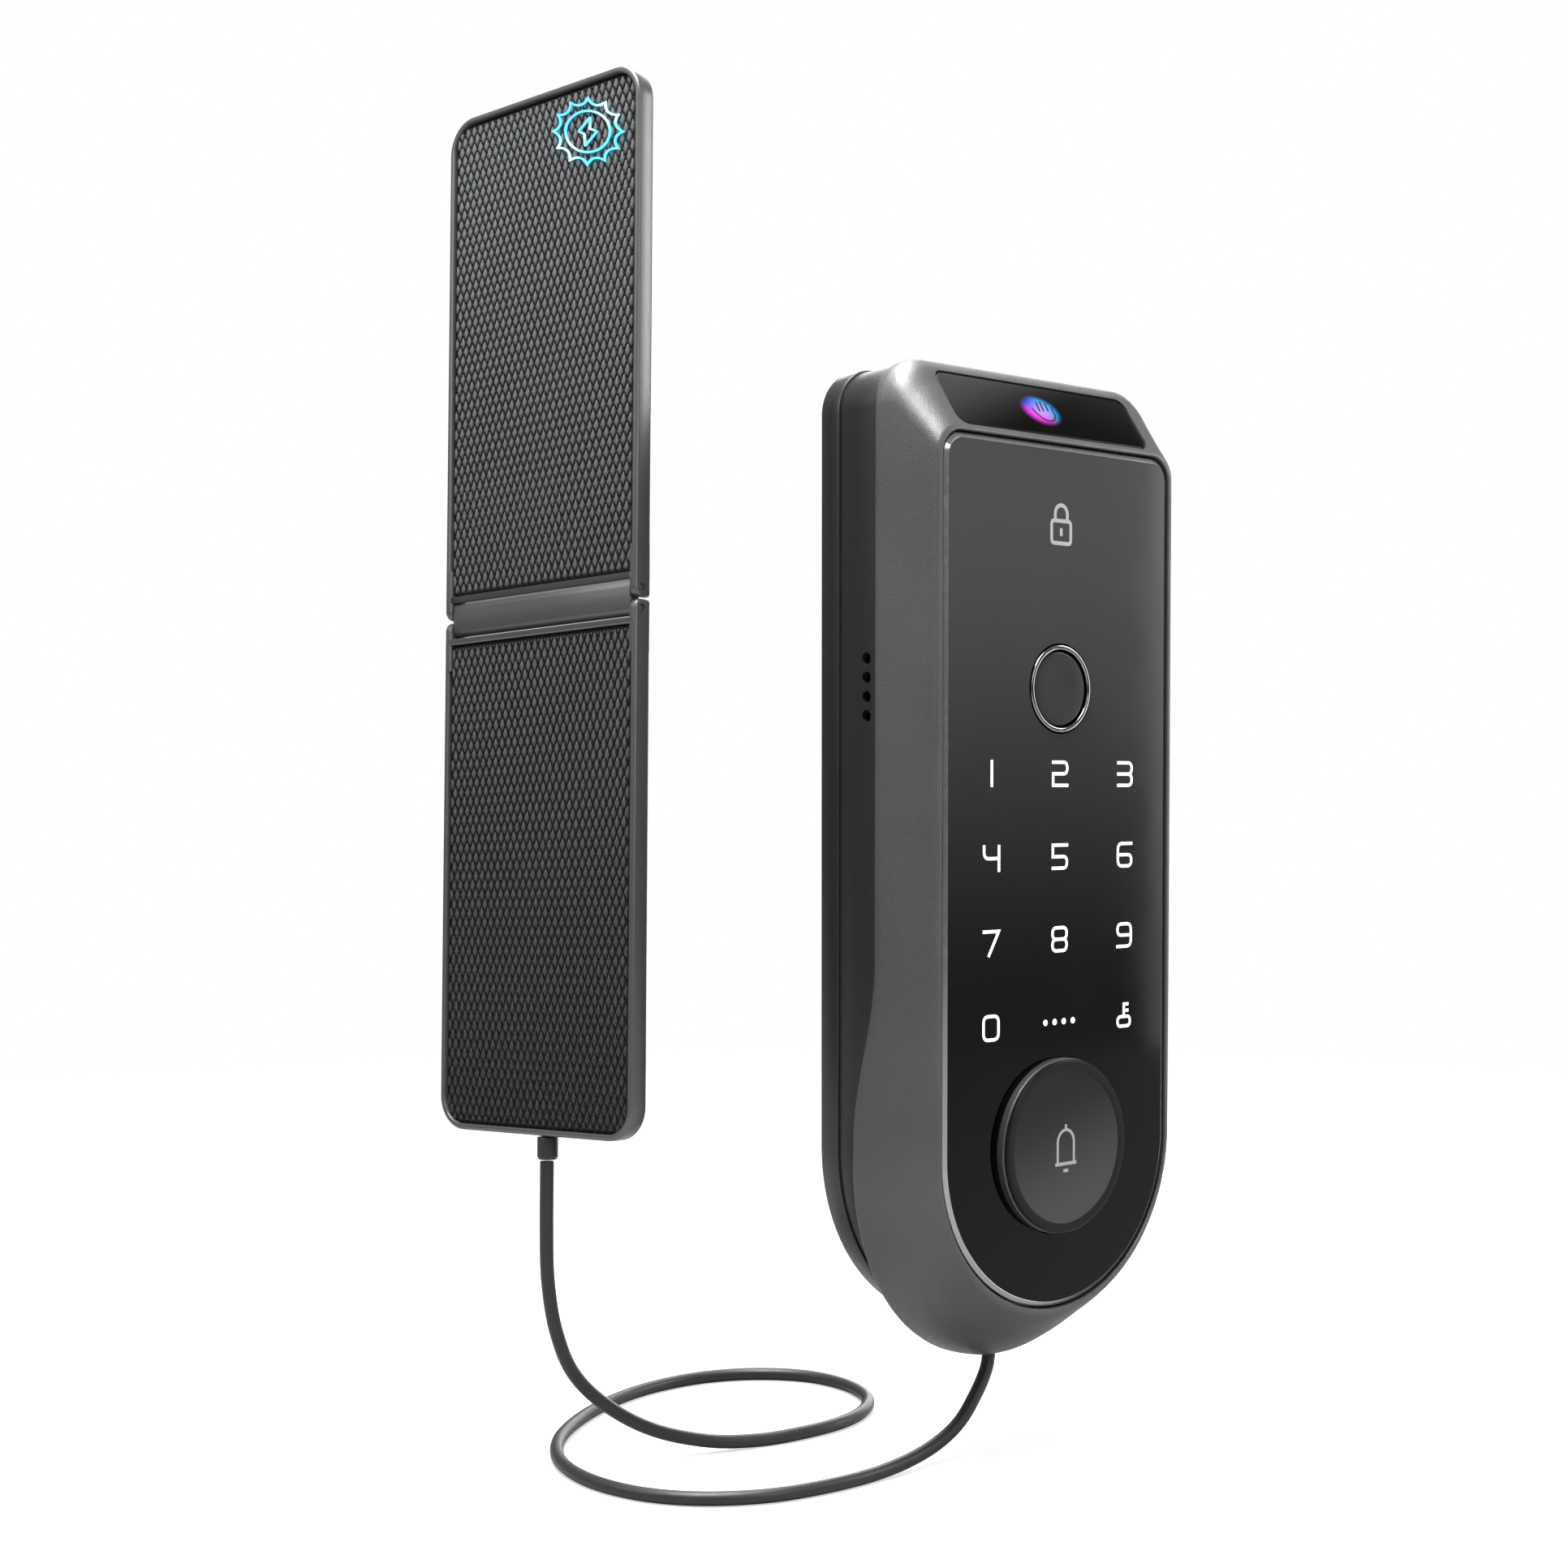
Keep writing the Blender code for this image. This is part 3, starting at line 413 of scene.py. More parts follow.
def smooth_path(route, count):
    """Evenly spaced points on the Catmull-Rom curve through the route."""
    padded = np.vstack((2 * route[0] - route[1], route, 2 * route[-1] - route[-2]))
    t = np.linspace(0, 1, 24, endpoint=False)[None, :, None]
    before, start, end, after = (padded[i:len(padded) - 3 + i, None] for i in range(4))
    dense = (
        2 * start + (end - before) * t + (2 * before - 5 * start + 4 * end - after) * t**2
        + (3 * start - before - 3 * end + after) * t**3
    ) / 2
    dense = np.vstack((dense.reshape(-1, 3), route[-1:]))
    run = np.concatenate(([0], np.cumsum(np.linalg.norm(np.diff(dense, axis=0), axis=1))))
    wanted = spaced(0, run[-1], count)
    return np.column_stack([np.interp(wanted, run, dense[:, i]) for i in range(3)])


# ---------------------------------------------------------------- pieces


def mesh_of(name, shape):
    """A mesh in metres whose doubles are merged and whose faces point outwards."""
    points, faces = shape
    mesh = bpy.data.meshes.new(name)
    mesh.from_pydata((np.asarray(points) * MM).tolist(), [], faces)
    made = bmesh.new()
    made.from_mesh(mesh)
    bmesh.ops.remove_doubles(made, verts=made.verts, dist=1e-7)
    bmesh.ops.dissolve_degenerate(made, edges=made.edges, dist=1e-8)
    bmesh.ops.recalc_face_normals(made, faces=made.faces)
    made.to_mesh(mesh)
    made.free()
    return mesh


def piece(name, shape, body, finish, replaces=(), cuts=(), sharp=32):
    """A finished piece: its shape with others cut away, shaded smooth up to the sharp angle, with its
    finish, on its body and in its material slot."""
    made = bpy.data.objects.new(name, mesh_of(name, shape))
    bpy.context.scene.collection.objects.link(made)
    for other in cuts:
        carve(made, other)
    made.data.materials.clear()
    made.data.materials.append(FINISHES[finish])
    made.data.shade_smooth()
    made.data.set_sharp_from_angle(angle=math.radians(sharp))
    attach(made, body)
    if replaces:
        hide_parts(*replaces)
    return made


def carve(made, shape):
    """Cuts the shape away with one exact Boolean."""
    other = bpy.data.objects.new("cutter", mesh_of("cutter", shape))
    bpy.context.scene.collection.objects.link(other)
    modifier = made.modifiers.new("cut", "BOOLEAN")
    modifier.operation, modifier.solver, modifier.object = "DIFFERENCE", "EXACT", other
    bpy.context.view_layer.update()
    result = bpy.data.meshes.new_from_object(made.evaluated_get(bpy.context.evaluated_depsgraph_get()))
    made.modifiers.clear()
    made.data = result
    bpy.data.objects.remove(other)


# ---------------------------------------------------------------- finishes


def node(tree, kind, inputs=None, **settings):
    made = tree.nodes.new(kind)
    for key, value in settings.items():
        setattr(made, key, value)
    for key, value in (inputs or {}).items():
        if isinstance(value, bpy.types.NodeSocket):
            tree.links.new(value, made.inputs[key])
        else:
            made.inputs[key].default_value = value
    return made


def new_finish(name, metallic=0.0, roughness=0.4, **sockets):
    """A material whose shader has the constant numbers given."""
    made = bpy.data.materials.new(name)
    made.use_nodes = True
    shader = made.node_tree.nodes["Principled BSDF"]
    shader.inputs["Metallic"].default_value = metallic
    shader.inputs["Roughness"].default_value = roughness
    for key, value in sockets.items():
        shader.inputs[key.replace("_", " ")].default_value = value
    return made, made.node_tree, shader


def object_space(tree, location=(0, 0, 0), rotation=(0, 0, 0), scale=(1, 1, 1)):
    """Object coordinates counted from location, along turned axes, in units of scale."""
    place = node(tree, "ShaderNodeTexCoord").outputs["Object"]
    return node(tree, "ShaderNodeMapping", {
        "Vector": place, "Location": location, "Rotation": rotation, "Scale": scale,
    }, vector_type="TEXTURE").outputs[0]


def noise(tree, place, scale, detail=2.0, roughness=0.5):
    return node(tree, "ShaderNodeTexNoise", {
        "Vector": place, "Scale": scale, "Detail": detail, "Roughness": roughness,
    }).outputs["Fac"]


def ranged(tree, value, low, high, start=0.0, end=1.0, steps="LINEAR"):
    return node(tree, "ShaderNodeMapRange", {
        "Value": value, "From Min": start, "From Max": end, "To Min": low, "To Max": high,
    }, interpolation_type=steps).outputs["Result"]


def blended(tree, share, first, second):
    made = node(tree, "ShaderNodeMix", data_type="RGBA")
    for key, value in (("Factor", share), (6, first), (7, second)):
        socket = made.inputs[key]
        if isinstance(value, bpy.types.NodeSocket):
            tree.links.new(value, socket)
        else:
            socket.default_value = value if key == "Factor" else (*value, 1)
    return made.outputs[2]


def maths(tree, operation, first, second=0.0):
    made = node(tree, "ShaderNodeMath", operation=operation)
    for i, value in enumerate((first, second)):
        if isinstance(value, bpy.types.NodeSocket):
            tree.links.new(value, made.inputs[i])
        else:
            made.inputs[i].default_value = value
    return made.outputs[0]


def scaled(tree, value, by):
    return maths(tree, "MULTIPLY", value, by)


def squares(tree, across, up):
    return maths(tree, "ADD", scaled(tree, across, across), scaled(tree, up, up))


def distance(tree, across, up):
    return maths(tree, "SQRT", squares(tree, across, up))


def split(tree, place):
    """The X, Y and Z sockets of a place."""
    return node(tree, "ShaderNodeSeparateXYZ", {"Vector": place}).outputs


def uneven(tree, field, low=0.0, high=1.0):
    """A noise's usual values, 0.3 to 0.7, spread from low to high."""
    return ranged(tree, field, low, high, 0.3, 0.7)


def feed(shader, **values):
    """Links each value to the shader's socket of that name."""
    for key, value in values.items():
        shader.id_data.links.new(value, shader.inputs[key.replace("_", " ")])


def shaded(tint, by):
    return tuple(min(c * by, 1) for c in tint)


def grained(name, tint, metallic, roughness, grain, depth, spread=0.12, patch=38.0, stretch=(1, 1, 1),
            **sockets):
    """A finish with fine grain: noise at the grain's scale for height and gloss, and broad, faint
    patches of lighter and darker colour."""
    made, tree, shader = new_finish(name, metallic, roughness, **sockets)
    place = object_space(tree, scale=stretch)
    fine = noise(tree, place, grain, 3.0, 0.6)
    mixed = maths(tree, "ADD", scaled(tree, fine, 0.6), scaled(tree, noise(tree, place, patch), 0.4))
    feed(
        shader,
        Base_Color=blended(tree, uneven(tree, mixed), shaded(tint, 1 - spread), shaded(tint, 1 + spread)),
        Roughness=uneven(tree, fine, roughness - 0.05, roughness + 0.07),
        Normal=node(tree, "ShaderNodeBump", {"Height": fine, "Strength": 1.0, "Distance": depth}).outputs[0],
    )
    return made


def glass_finish(name, tint, low, high, z_low, z_high, roughness=0.06):
    """Black printed glass under a clear gloss, painted lighter towards the top: painted light standing in
    for the light from above.
    """
    made, tree, shader = new_finish(name, 0.0, roughness, IOR=1.2)
    place = object_space(tree)
    # painted light: the print's colour grows from low to high times the tint with height
    share = ranged(tree, split(tree, place)["Z"], 0, 1, z_low, z_high, "SMOOTHSTEP")
    share = scaled(tree, share, uneven(tree, noise(tree, place, 18.0, 1.0), 0.94, 1.06))
    feed(
        shader,
        Base_Color=blended(tree, share, shaded(tint, low), shaded(tint, high)),
        Roughness=uneven(tree, noise(tree, place, 60.0, 3.0), roughness * 0.8, roughness * 1.5),
    )
    return made


def cap_finish(tint):
    """The doorbell cap: satin glass painted lighter towards its foot, a painted reflection of the light
    above, with a near-black border ring.
    """
    made, tree, shader = new_finish("cap_glass", 0.0, 0.34, IOR=1.2)
    parts = split(tree, object_space(tree, scale=(MM, MM, MM)))
    # painted reflection: the disc grows from 0.8 to 4.2 times the tint towards its lower right
    slope = maths(tree, "SUBTRACT", scaled(tree, parts["X"], 0.35), parts["Z"])
    foot = ranged(tree, slope, 0, 1, -12, 14, "SMOOTHSTEP")
    disc = blended(tree, foot, shaded(tint, 0.8), shaded(tint, 4.2))
    away = distance(tree, parts["X"], parts["Z"])
    border = ranged(tree, away, 0, 1, CAP_RADIUS - 0.05, CAP_RADIUS + 0.1)
    feed(
        shader,
        Base_Color=blended(tree, border, disc, shaded(tint, 0.5)),
        Roughness=uneven(tree, noise(tree, object_space(tree), 300.0), 0.32, 0.36),
    )
    return made


def window_finish(tint):
    """The reader window: black glass with a soft round lamp behind it, blue above, magenta below on
    the left and cyan on the right, paler in the middle."""
    made, tree, shader = new_finish("window_glass", 0.0, 0.05, IOR=1.13, Emission_Strength=1.0)
    parts = split(tree, object_space(tree, WINDOW_CENTRE * MM, (-WINDOW_TILT, 0, 0), (MM, MM, MM)))
    across = scaled(tree, maths(tree, "ADD", parts["X"], 1.0), 0.87)
    up = scaled(tree, parts["Z"], 1.25)
    away = distance(tree, across, up)
    right = maths(tree, "ADD", across, scaled(tree, up, 0.5))
    right = ranged(tree, right, 0, 1, -1.4, 3.0, "SMOOTHSTEP")
    below = maths(tree, "SUBTRACT", scaled(tree, across, -0.35), up)
    below = ranged(tree, below, 0, 1, -1.4, 2.6, "SMOOTHSTEP")
    left = blended(tree, below, (0.06, 0.09, 0.95), (0.92, 0.03, 0.85))
    hue = blended(tree, right, left, (0.05, 0.42, 1.0))
    pale = ranged(tree, away, 0.62, 0, 0.2, 3.6, "SMOOTHSTEP")
    hue = blended(tree, pale, hue, (0.78, 0.52, 1.0))
    # painted light and shade: the glass's own colour runs from 0.08 to 2 times the tint, lighter towards its
    # top and left
    corner = maths(tree, "ADD", scaled(tree, parts["X"], -1.0), scaled(tree, parts["Z"], 2.2))
    shade = ranged(tree, corner, 0, 1, -4, 36, "SMOOTHSTEP")
    feed(
        shader,
        Base_Color=blended(tree, shade, shaded(tint, 0.08), shaded(tint, 2.0)),
        Emission_Color=blended(tree, ranged(tree, away, 1, 0, 2.6, 5.2, "SMOOTHERSTEP"), (0, 0, 0), hue),
        Roughness=uneven(tree, noise(tree, object_space(tree), 60.0, 3.0), 0.04, 0.08),
    )
    return made


def lit_finish(name, tint, strength, spread=0.04):
    """A lit mark, or a printed one given painted light: its own light, a little uneven along it."""
    made, tree, shader = new_finish(name, 0.0, 0.5, Base_Color=(*shaded(tint, 0.4), 1),
                                    Emission_Strength=strength)
    share = uneven(tree, noise(tree, object_space(tree), 400.0, 1.0))
    feed(shader, Emission_Color=blended(tree, share, shaded(tint, 1 - spread), tint))
    return made


def panel_space(tree, centre=(0, 0, 0)):
    """Coordinates of the panel's own frame, counted from centre, in millimetres."""
    place = Vector(PANEL_FOOT) + PANEL_MATRIX.to_3x3() @ Vector(centre)
    return object_space(tree, place * MM, PANEL_MATRIX.to_euler("XYZ"), (MM, MM, MM))


def mark_place(tree):
    """Where a point lies in the lit mark, across and up, with the mark's stretch and slant taken out."""
    parts = split(tree, panel_space(tree, (MARK_CENTRE[0], 0, MARK_CENTRE[1])))
    up = maths(tree, "ADD", parts["Z"], scaled(tree, parts["X"], MARK_SLANT))
    return scaled(tree, parts["X"], 1 / MARK_STRETCH), up


def mark_finish():
    """The lit mark: white along the rising diagonal through its middle, blue across it. The share of
    white is the sine of twice the angle round the middle, 2xz / (x^2 + z^2)."""
    made, tree, shader = new_finish("lit_mark", 0.0, 0.5, Base_Color=(0.1, 0.5, 0.7, 1),
                                    Emission_Strength=1.15)
    across, up = mark_place(tree)
    twice = maths(tree, "DIVIDE", scaled(tree, scaled(tree, across, up), 2), squares(tree, across, up))
    ramp = node(tree, "ShaderNodeValToRGB", {"Fac": ranged(tree, twice, 0, 1, -1, 1)})
    stops = ramp.color_ramp.elements
    stops[0].position, stops[0].color = 0.0, (0.0, 0.42, 1.0, 1)
    stops[1].position, stops[1].color = 0.98, (0.95, 1.0, 1.0, 1)
    stops.new(0.45).color = (0.0, 0.62, 0.95, 1)
    stops.new(0.75).color = (0.14, 0.88, 0.98, 1)
    feed(shader, Emission_Color=ramp.outputs[0])
    return made


def cell_finish(tint):
    """Embossed film over the cells: pale on the lozenges, near black in the grooves and on each lozenge's
    lower right as painted shade and shadow, darker down the panel as painted shade from the light above,
    with the mark's light falling on it as two soft rings."""
    made, tree, shader = new_finish("cell_film", 0.0, 0.45, IOR=1.28, Emission_Strength=0.22)
    relief_and_shade = node(tree, "ShaderNodeAttribute", attribute_name="relief_and_shade").outputs["Fac"]
    place = panel_space(tree)
    grain = noise(tree, place, 2.6, 3.0, 0.6)
    height = ranged(tree, split(tree, place)["Z"], 0, 1, 0, 2 * HINGE_Z)
    # painted shade: the lozenge tops run from 0.03 to 1 times the tint up the panel, darker towards its foot
    top = blended(tree, height, shaded(tint, 0.03), shaded(tint, 1.0))
    top = blended(tree, ranged(tree, grain, 0, 0.28, 0.35, 0.75), top, shaded(tint, 1.7))
    # painted shade and shadow: the film is near black in the grooves and along each lozenge's lower right,
    # where the attribute from cell_shape is low
    clear_of_painted_shade = ranged(tree, relief_and_shade, 0, 1, 0.42, 1.0, "SMOOTHSTEP")
    away = distance(tree, *mark_place(tree))
    rings = [
        ranged(tree, maths(tree, "ABSOLUTE", maths(tree, "SUBTRACT", away, radius)), 1, 0, 0, reach,
               "SMOOTHERSTEP")
        for radius, reach in ((5.7, 1.5), (4.1, 1.0))
    ]
    feed(
        shader,
        Base_Color=blended(tree, clear_of_painted_shade, (0.003, 0.003, 0.0035), top),
        Roughness=uneven(tree, grain, 0.38, 0.52),
        Emission_Color=blended(tree, maths(tree, "MAXIMUM", *rings), (0, 0, 0), (0.02, 0.2, 0.26)),
    )
    return made


def brushed(name, tint, roughness, stretch, depth=4e-6):
    """Bright metal with fine lines: noise drawn out along one axis."""
    return grained(name, tint, 1.0, roughness, 900.0, depth, 0.1, 60.0, stretch)


def board_finish():
    """Circuit board: solder mask with a grid of tracks and pads."""
    made, tree, shader = new_finish("circuit_board", 0.0, 0.4)
    place = object_space(tree, scale=(MM, MM, MM))
    tracks = node(tree, "ShaderNodeTexBrick", {
        "Vector": place, "Scale": 0.35, "Color1": (0.012, 0.1, 0.05, 1), "Color2": (0.02, 0.14, 0.07, 1),
        "Mortar": (0.04, 0.24, 0.12, 1), "Mortar Size": 0.05,
    }, offset=0.37)
    gloss = ranged(tree, noise(tree, place, 1.5), 0.35, 0.5)
    feed(shader, Base_Color=tracks.outputs["Color"], Roughness=gloss)
    return made


FINISHES = {}


def make_finishes(colours):
    cast, glass = tuple(colours.cast), tuple(colours.glass)
    FINISHES.update(
        cast=grained("cast_satin", cast, 0.72, 0.45, 3600.0, 5e-5, 0.2),
        moulded=grained("moulded_satin", tuple(colours.moulded), 0.0, 0.40, 2600.0, 8e-6, 0.10,
                        Specular_IOR_Level=0.35),
        plated=grained("plated_satin", tuple(colours.plated), 0.78, 0.34, 3400.0, 7e-6, 0.08),
        # the cover glass and the sensor glass are painted lighter towards the top: painted light
        glass=glass_finish("cover_glass", glass, 0.08, 4.6, 0.01, 0.132),
        cap=cap_finish(glass),
        edge=grained("polished_edge", (0.3, 0.3, 0.3), 0.8, 0.1, 700.0, 1e-6, 0.05),
        sensor=glass_finish("sensor_glass", glass, 1.9, 2.3, 0.08, 0.096, 0.2),
        window=window_finish(glass),
        polished=grained("polished_ring", (0.24, 0.24, 0.24), 1.0, 0.1, 900.0, 1e-6, 0.05),
        rubber=grained("black_rubber", (0.012, 0.012, 0.012), 0.0, 0.66, 1800.0, 1.2e-5, 0.2),
        board=board_finish(),
        diffuser=grained("white_diffuser", (0.78, 0.78, 0.76), 0.0, 0.5, 1500.0, 4e-6, 0.04),
        steel=brushed("zinc_steel", (0.5, 0.5, 0.52), 0.3, (1, 6, 1)),
        brass=brushed("turned_brass", (0.58, 0.4, 0.15), 0.28, (6, 1, 6)),
        alloy=grained("anodised_alloy", tuple(colours.alloy), 0.65, 0.33, 3000.0, 6e-6, 0.07),
        cell=cell_finish(tuple(colours.cell)),
        lead=grained("lead_jacket", tuple(colours.lead), 0.0, 0.4, 1500.0, 6e-6, 0.15,
                     Specular_IOR_Level=0.35),
        foam=grained("adhesive_foam", (0.028, 0.028, 0.028), 0.0, 0.9, 1400.0, 5e-5, 0.3),
        numeral=lit_finish("lit_numerals", (1.0, 1.0, 1.0), 1.0),
        # the grey padlock print and the bell print glow with their own light though they are print: painted
        # light
        grey_print=lit_finish("grey_print", (0.36, 0.36, 0.36), 0.75, 0.06),
        bell_print=lit_finish("bell_print", (0.3, 0.3, 0.3), 0.75, 0.06),
        palm_print=grained("palm_print", (0.006, 0.006, 0.012), 0.0, 0.4, 900.0, 1e-6, 0.2),
        mark=mark_finish(),
    )


class LOCK_OT_finishes(bpy.types.Operator):
    """Makes every finish and gives the carried-over solids theirs"""

    bl_idname = "lock.finishes"
    bl_label = "Finishes"

    def execute(self, context):
        make_finishes(context.scene.lock_colours)
        kept = {
            "cast_housing": "cast", "moulded_housing": "moulded", "plated_back": "plated",
            "cover_glass": "glass", "polished_ring": "polished", "black_rubber": "rubber",
            "circuit_board": "board", "white_diffuser": "diffuser", "zinc_steel": "steel",
            "brass": "brass", "panel_alloy": "alloy", "solar_laminate": "cell",
            "lead_jacket": "lead", "adhesive_foam": "foam",
        }
        for part in frame["record"]["subparts"]:
            solid = frame["nodes"][part["node"]]
            finish = FINISHES[kept[part["material_slot"]]]
            if not solid.material_slots:
                solid.data.materials.append(finish)
            for held in solid.material_slots:
                held.material = finish
        return {"FINISHED"}


# ---------------------------------------------------------------- the lock


class LOCK_OT_camera(bpy.types.Operator):
    """Puts the camera in front of the lock's left side, a little below its middle"""

    bl_idname = "lock.camera"
    bl_label = "Camera"

    def execute(self, context):
        data = bpy.data.cameras.new("camera")
        data.lens, data.sensor_width = 52.62, 36
        data.shift_y = 0.0518
        data.clip_start, data.clip_end = 0.01, 20
        camera = bpy.data.objects.new("camera", data)
        context.scene.collection.objects.link(camera)
        camera.location = (-0.32932, -0.32992, 0.06997)
        camera.rotation_euler = (math.radians(90 - 2.022), 0, math.radians(-40.695))
        context.scene.camera = camera
        return {"FINISHED"}


class LOCK_OT_lead(bpy.types.Operator):
    """The free lead, its gland on the panel and its plug in the lock's chin"""

    bl_idname = "lock.lead"
    bl_label = "Lead"

    def execute(self, context):
        path = smooth_path(np.array(LEAD_ROUTE, float), LEAD_POINTS) * MM
        curve = bpy.data.curves.new("lead", "CURVE")
        curve.dimensions = "3D"
        curve.bevel_depth, curve.bevel_resolution = LEAD_RADIUS * MM, 6
        curve.use_fill_caps = True
        spline = curve.splines.new("POLY")
        spline.points.add(len(path) - 1)
        spline.points.foreach_set("co", np.column_stack((path, np.ones(len(path)))).ravel())
        spline.use_smooth = True
        curve.materials.append(FINISHES["lead"])
        lead = bpy.data.objects.new("lead", curve)
        context.scene.collection.objects.link(lead)
        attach(lead, "lock")
        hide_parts("solar_cable")

        profile = rounded([(0, 0.9), (1.15, 0.9), (1.15, -0.22), (2.0, -0.22), (2.0, -3.9), (1.7, -4.5),
                           (1.38, -4.5), (0, -4.4)], 0.22)
        gland = piece("gland", on_panel(turned(profile, (2.3, LEAF_THICK / 2, 0), "z", 64)), "lock",
                      "lead", ("panel_gland",), sharp=50)
        profile = rounded([(0, -36.8), (2.1, -36.8), (2.1, -42.6), (1.75, -43), (0, -43)], 0.25)
        plug = piece("plug", turned(profile, (0, SOCKET_Y, 0), "z", 48), "lock",
                     "rubber", ("cable_plug",), sharp=50)
        return {"FINISHED"}


class LOCK_OT_front_housing(bpy.types.Operator):
    """Cast front housing with its flared flank, chin and window recess"""

    bl_idname = "lock.front_housing"
    bl_label = "Front housing"

    def execute(self, context):
        shares, sizes = smooth_rows(HOUSING, 44)
        rings = [
            ring(size, lambda z, share=share: share * housing_end(z)) for share, size in zip(shares, sizes)
        ]
        seat = drawn_in(GLASS, -GLASS_GAP - 0.1)
        inner = [
            ring(CAVITY, housing_end), ring(CAVITY, LEDGE + 1.6), ring(drawn_in(GLASS, 2.1), LEDGE + 0.8),
            ring(drawn_in(GLASS, 2.1), LEDGE), ring(seat, LEDGE), ring(seat, 0.35),
            ring(drawn_in(seat, -0.05), 0.14), ring(drawn_in(seat, -0.2), 0.0),
        ]
        recess = plate(box_outline(WINDOW[0] + 0.7, WINDOW[1] + 0.7, WINDOW[2] + 0.35), -3, 1.7)
        bore = turned([(0, -30), (2.3, -30), (2.3, -41.5), (2.9, -48), (0, -48)], (0, SOCKET_Y, 0), "z", 48)
        piece("housing", skin(rings + inner, joined=True), "lock", "cast",
              ("front_housing",), cuts=(tilted(recess), bore), sharp=34)
        return {"FINISHED"}


class LOCK_OT_middle_and_back(bpy.types.Operator):
    """Moulded middle section with its sound holes, and the back plate"""

    bl_idname = "lock.middle_and_back"
    bl_label = "Middle section and back plate"

    def execute(self, context):
        outside = drawn_in(PLATE, MID_INSET)
        rear = DEPTH - PLATE_DEPTH - 0.12

        def front(extra):
            return lambda z: housing_end(z) + 0.25 + extra

        rings = [
            ring(CAVITY, front(0)), ring(drawn_in(outside, 0.5), front(0)),
            ring(drawn_in(outside, 0.15), front(0.15)), ring(outside, front(0.5)),
            ring(outside, rear - 0.2), ring(drawn_in(outside, 0.06), rear - 0.05),
            ring(drawn_in(outside, 0.2), rear), ring(CAVITY, rear),
        ]
        holes = [
            turned([(0, -40), (1.55, -40), (1.15, -35.9), (1.15, -31), (0, -31)], (0, SPEAKER_Y, z), "x", 40)
            for z in SPEAKER_HEIGHTS
        ]
        piece("middle_section", skin(rings, joined=True), "lock", "moulded",
              ("mid_housing",), cuts=holes, sharp=34)

        depth = DEPTH - PLATE_DEPTH
        rows = (
            (1.2, depth), (0.35, depth), (0.1, depth + 0.1), (0, depth + 0.35), (0, DEPTH - 0.8),
            (0.24, DEPTH - 0.24), (0.8, DEPTH), (1.0, DEPTH), (1.0, DEPTH - 1.3), (2.6, DEPTH - 1.3),
            (2.6, DEPTH),
        )
        screw_hole = [(0, 7), (1.6, 7), (1.6, 2.4), (3.0, 2.4), (3.0, 0.3), (3.6, -0.5), (0, -0.5)]
        bushing_hole = [(0, 4.2), (3.7, 4.2), (3.7, 0.3), (4.3, -0.5), (0, -0.5)]
        holes = [turned(screw_hole, (x, 0, z), steps=48) for x, z, tip in SCREWS]
        holes += [turned(bushing_hole, (x, 0, 0), steps=48) for x in (-BUSHING_X, BUSHING_X)]
        holes.append(turned([(0, 7), (5.2, 7), (5.2, -1), (0, -1)], (0, 0, HARNESS_Z), steps=48))
        piece("back_cover", skin([ring(drawn_in(PLATE, inset), at) for inset, at in rows]), "lock",
              "plated", ("back_plate",), cuts=holes, sharp=34)
        return {"FINISHED"}


class LOCK_OT_fixings(bpy.types.Operator):
    """Case screws with hexagon sockets, threaded bushings and the grommet in the back plate"""

    bl_idname = "lock.fixings"
    bl_label = "Fixings"

    def execute(self, context):
        hexagon = np.radians(np.arange(0, 360, 60))
        for number, (x, z, tip) in enumerate(SCREWS, 1):
            profile = rounded([(0, tip), (1.0, tip), (1.3, tip - 0.6), (1.3, 2.1), (2.75, 2.1), (2.75, 0.6),
                               (2.3, 0.35), (0, 0.3)], 0.12)
            socket = turned([(0, 1.3), (1.25, 1.3), (1.25, -1), (0, -1)], (x, 0, z), around=hexagon)
            piece(f"case_screw_head_{number}", turned(profile, (x, 0, z), steps=40), "lock",
                  "steel", (f"case_screw_{number}",), cuts=(socket,))
        profile = rounded([(0, 3.9), (3.5, 3.9), (3.5, 0.15), (3.3, 0), (2.1, 0), (1.7, 0.45), (1.7, 3.2),
                           (0, 3.2)], 0.1)
        for side, x in (("left", -BUSHING_X), ("right", BUSHING_X)):
            piece(f"bushing_{side}", turned(profile, (x, 0, 0), steps=56), "lock", "brass",
                  (f"mounting_bushing_{side}",))
        profile = rounded([(3.2, 6.6), (7, 6.6), (7, 5.4), (5, 5.4), (5, 0), (3.2, 0)], 0.45, closed=True)
        piece("grommet", turned(profile, (0, 0, HARNESS_Z), steps=72, joined=True), "lock",
              "rubber", ("harness_grommet",))
        return {"FINISHED"}


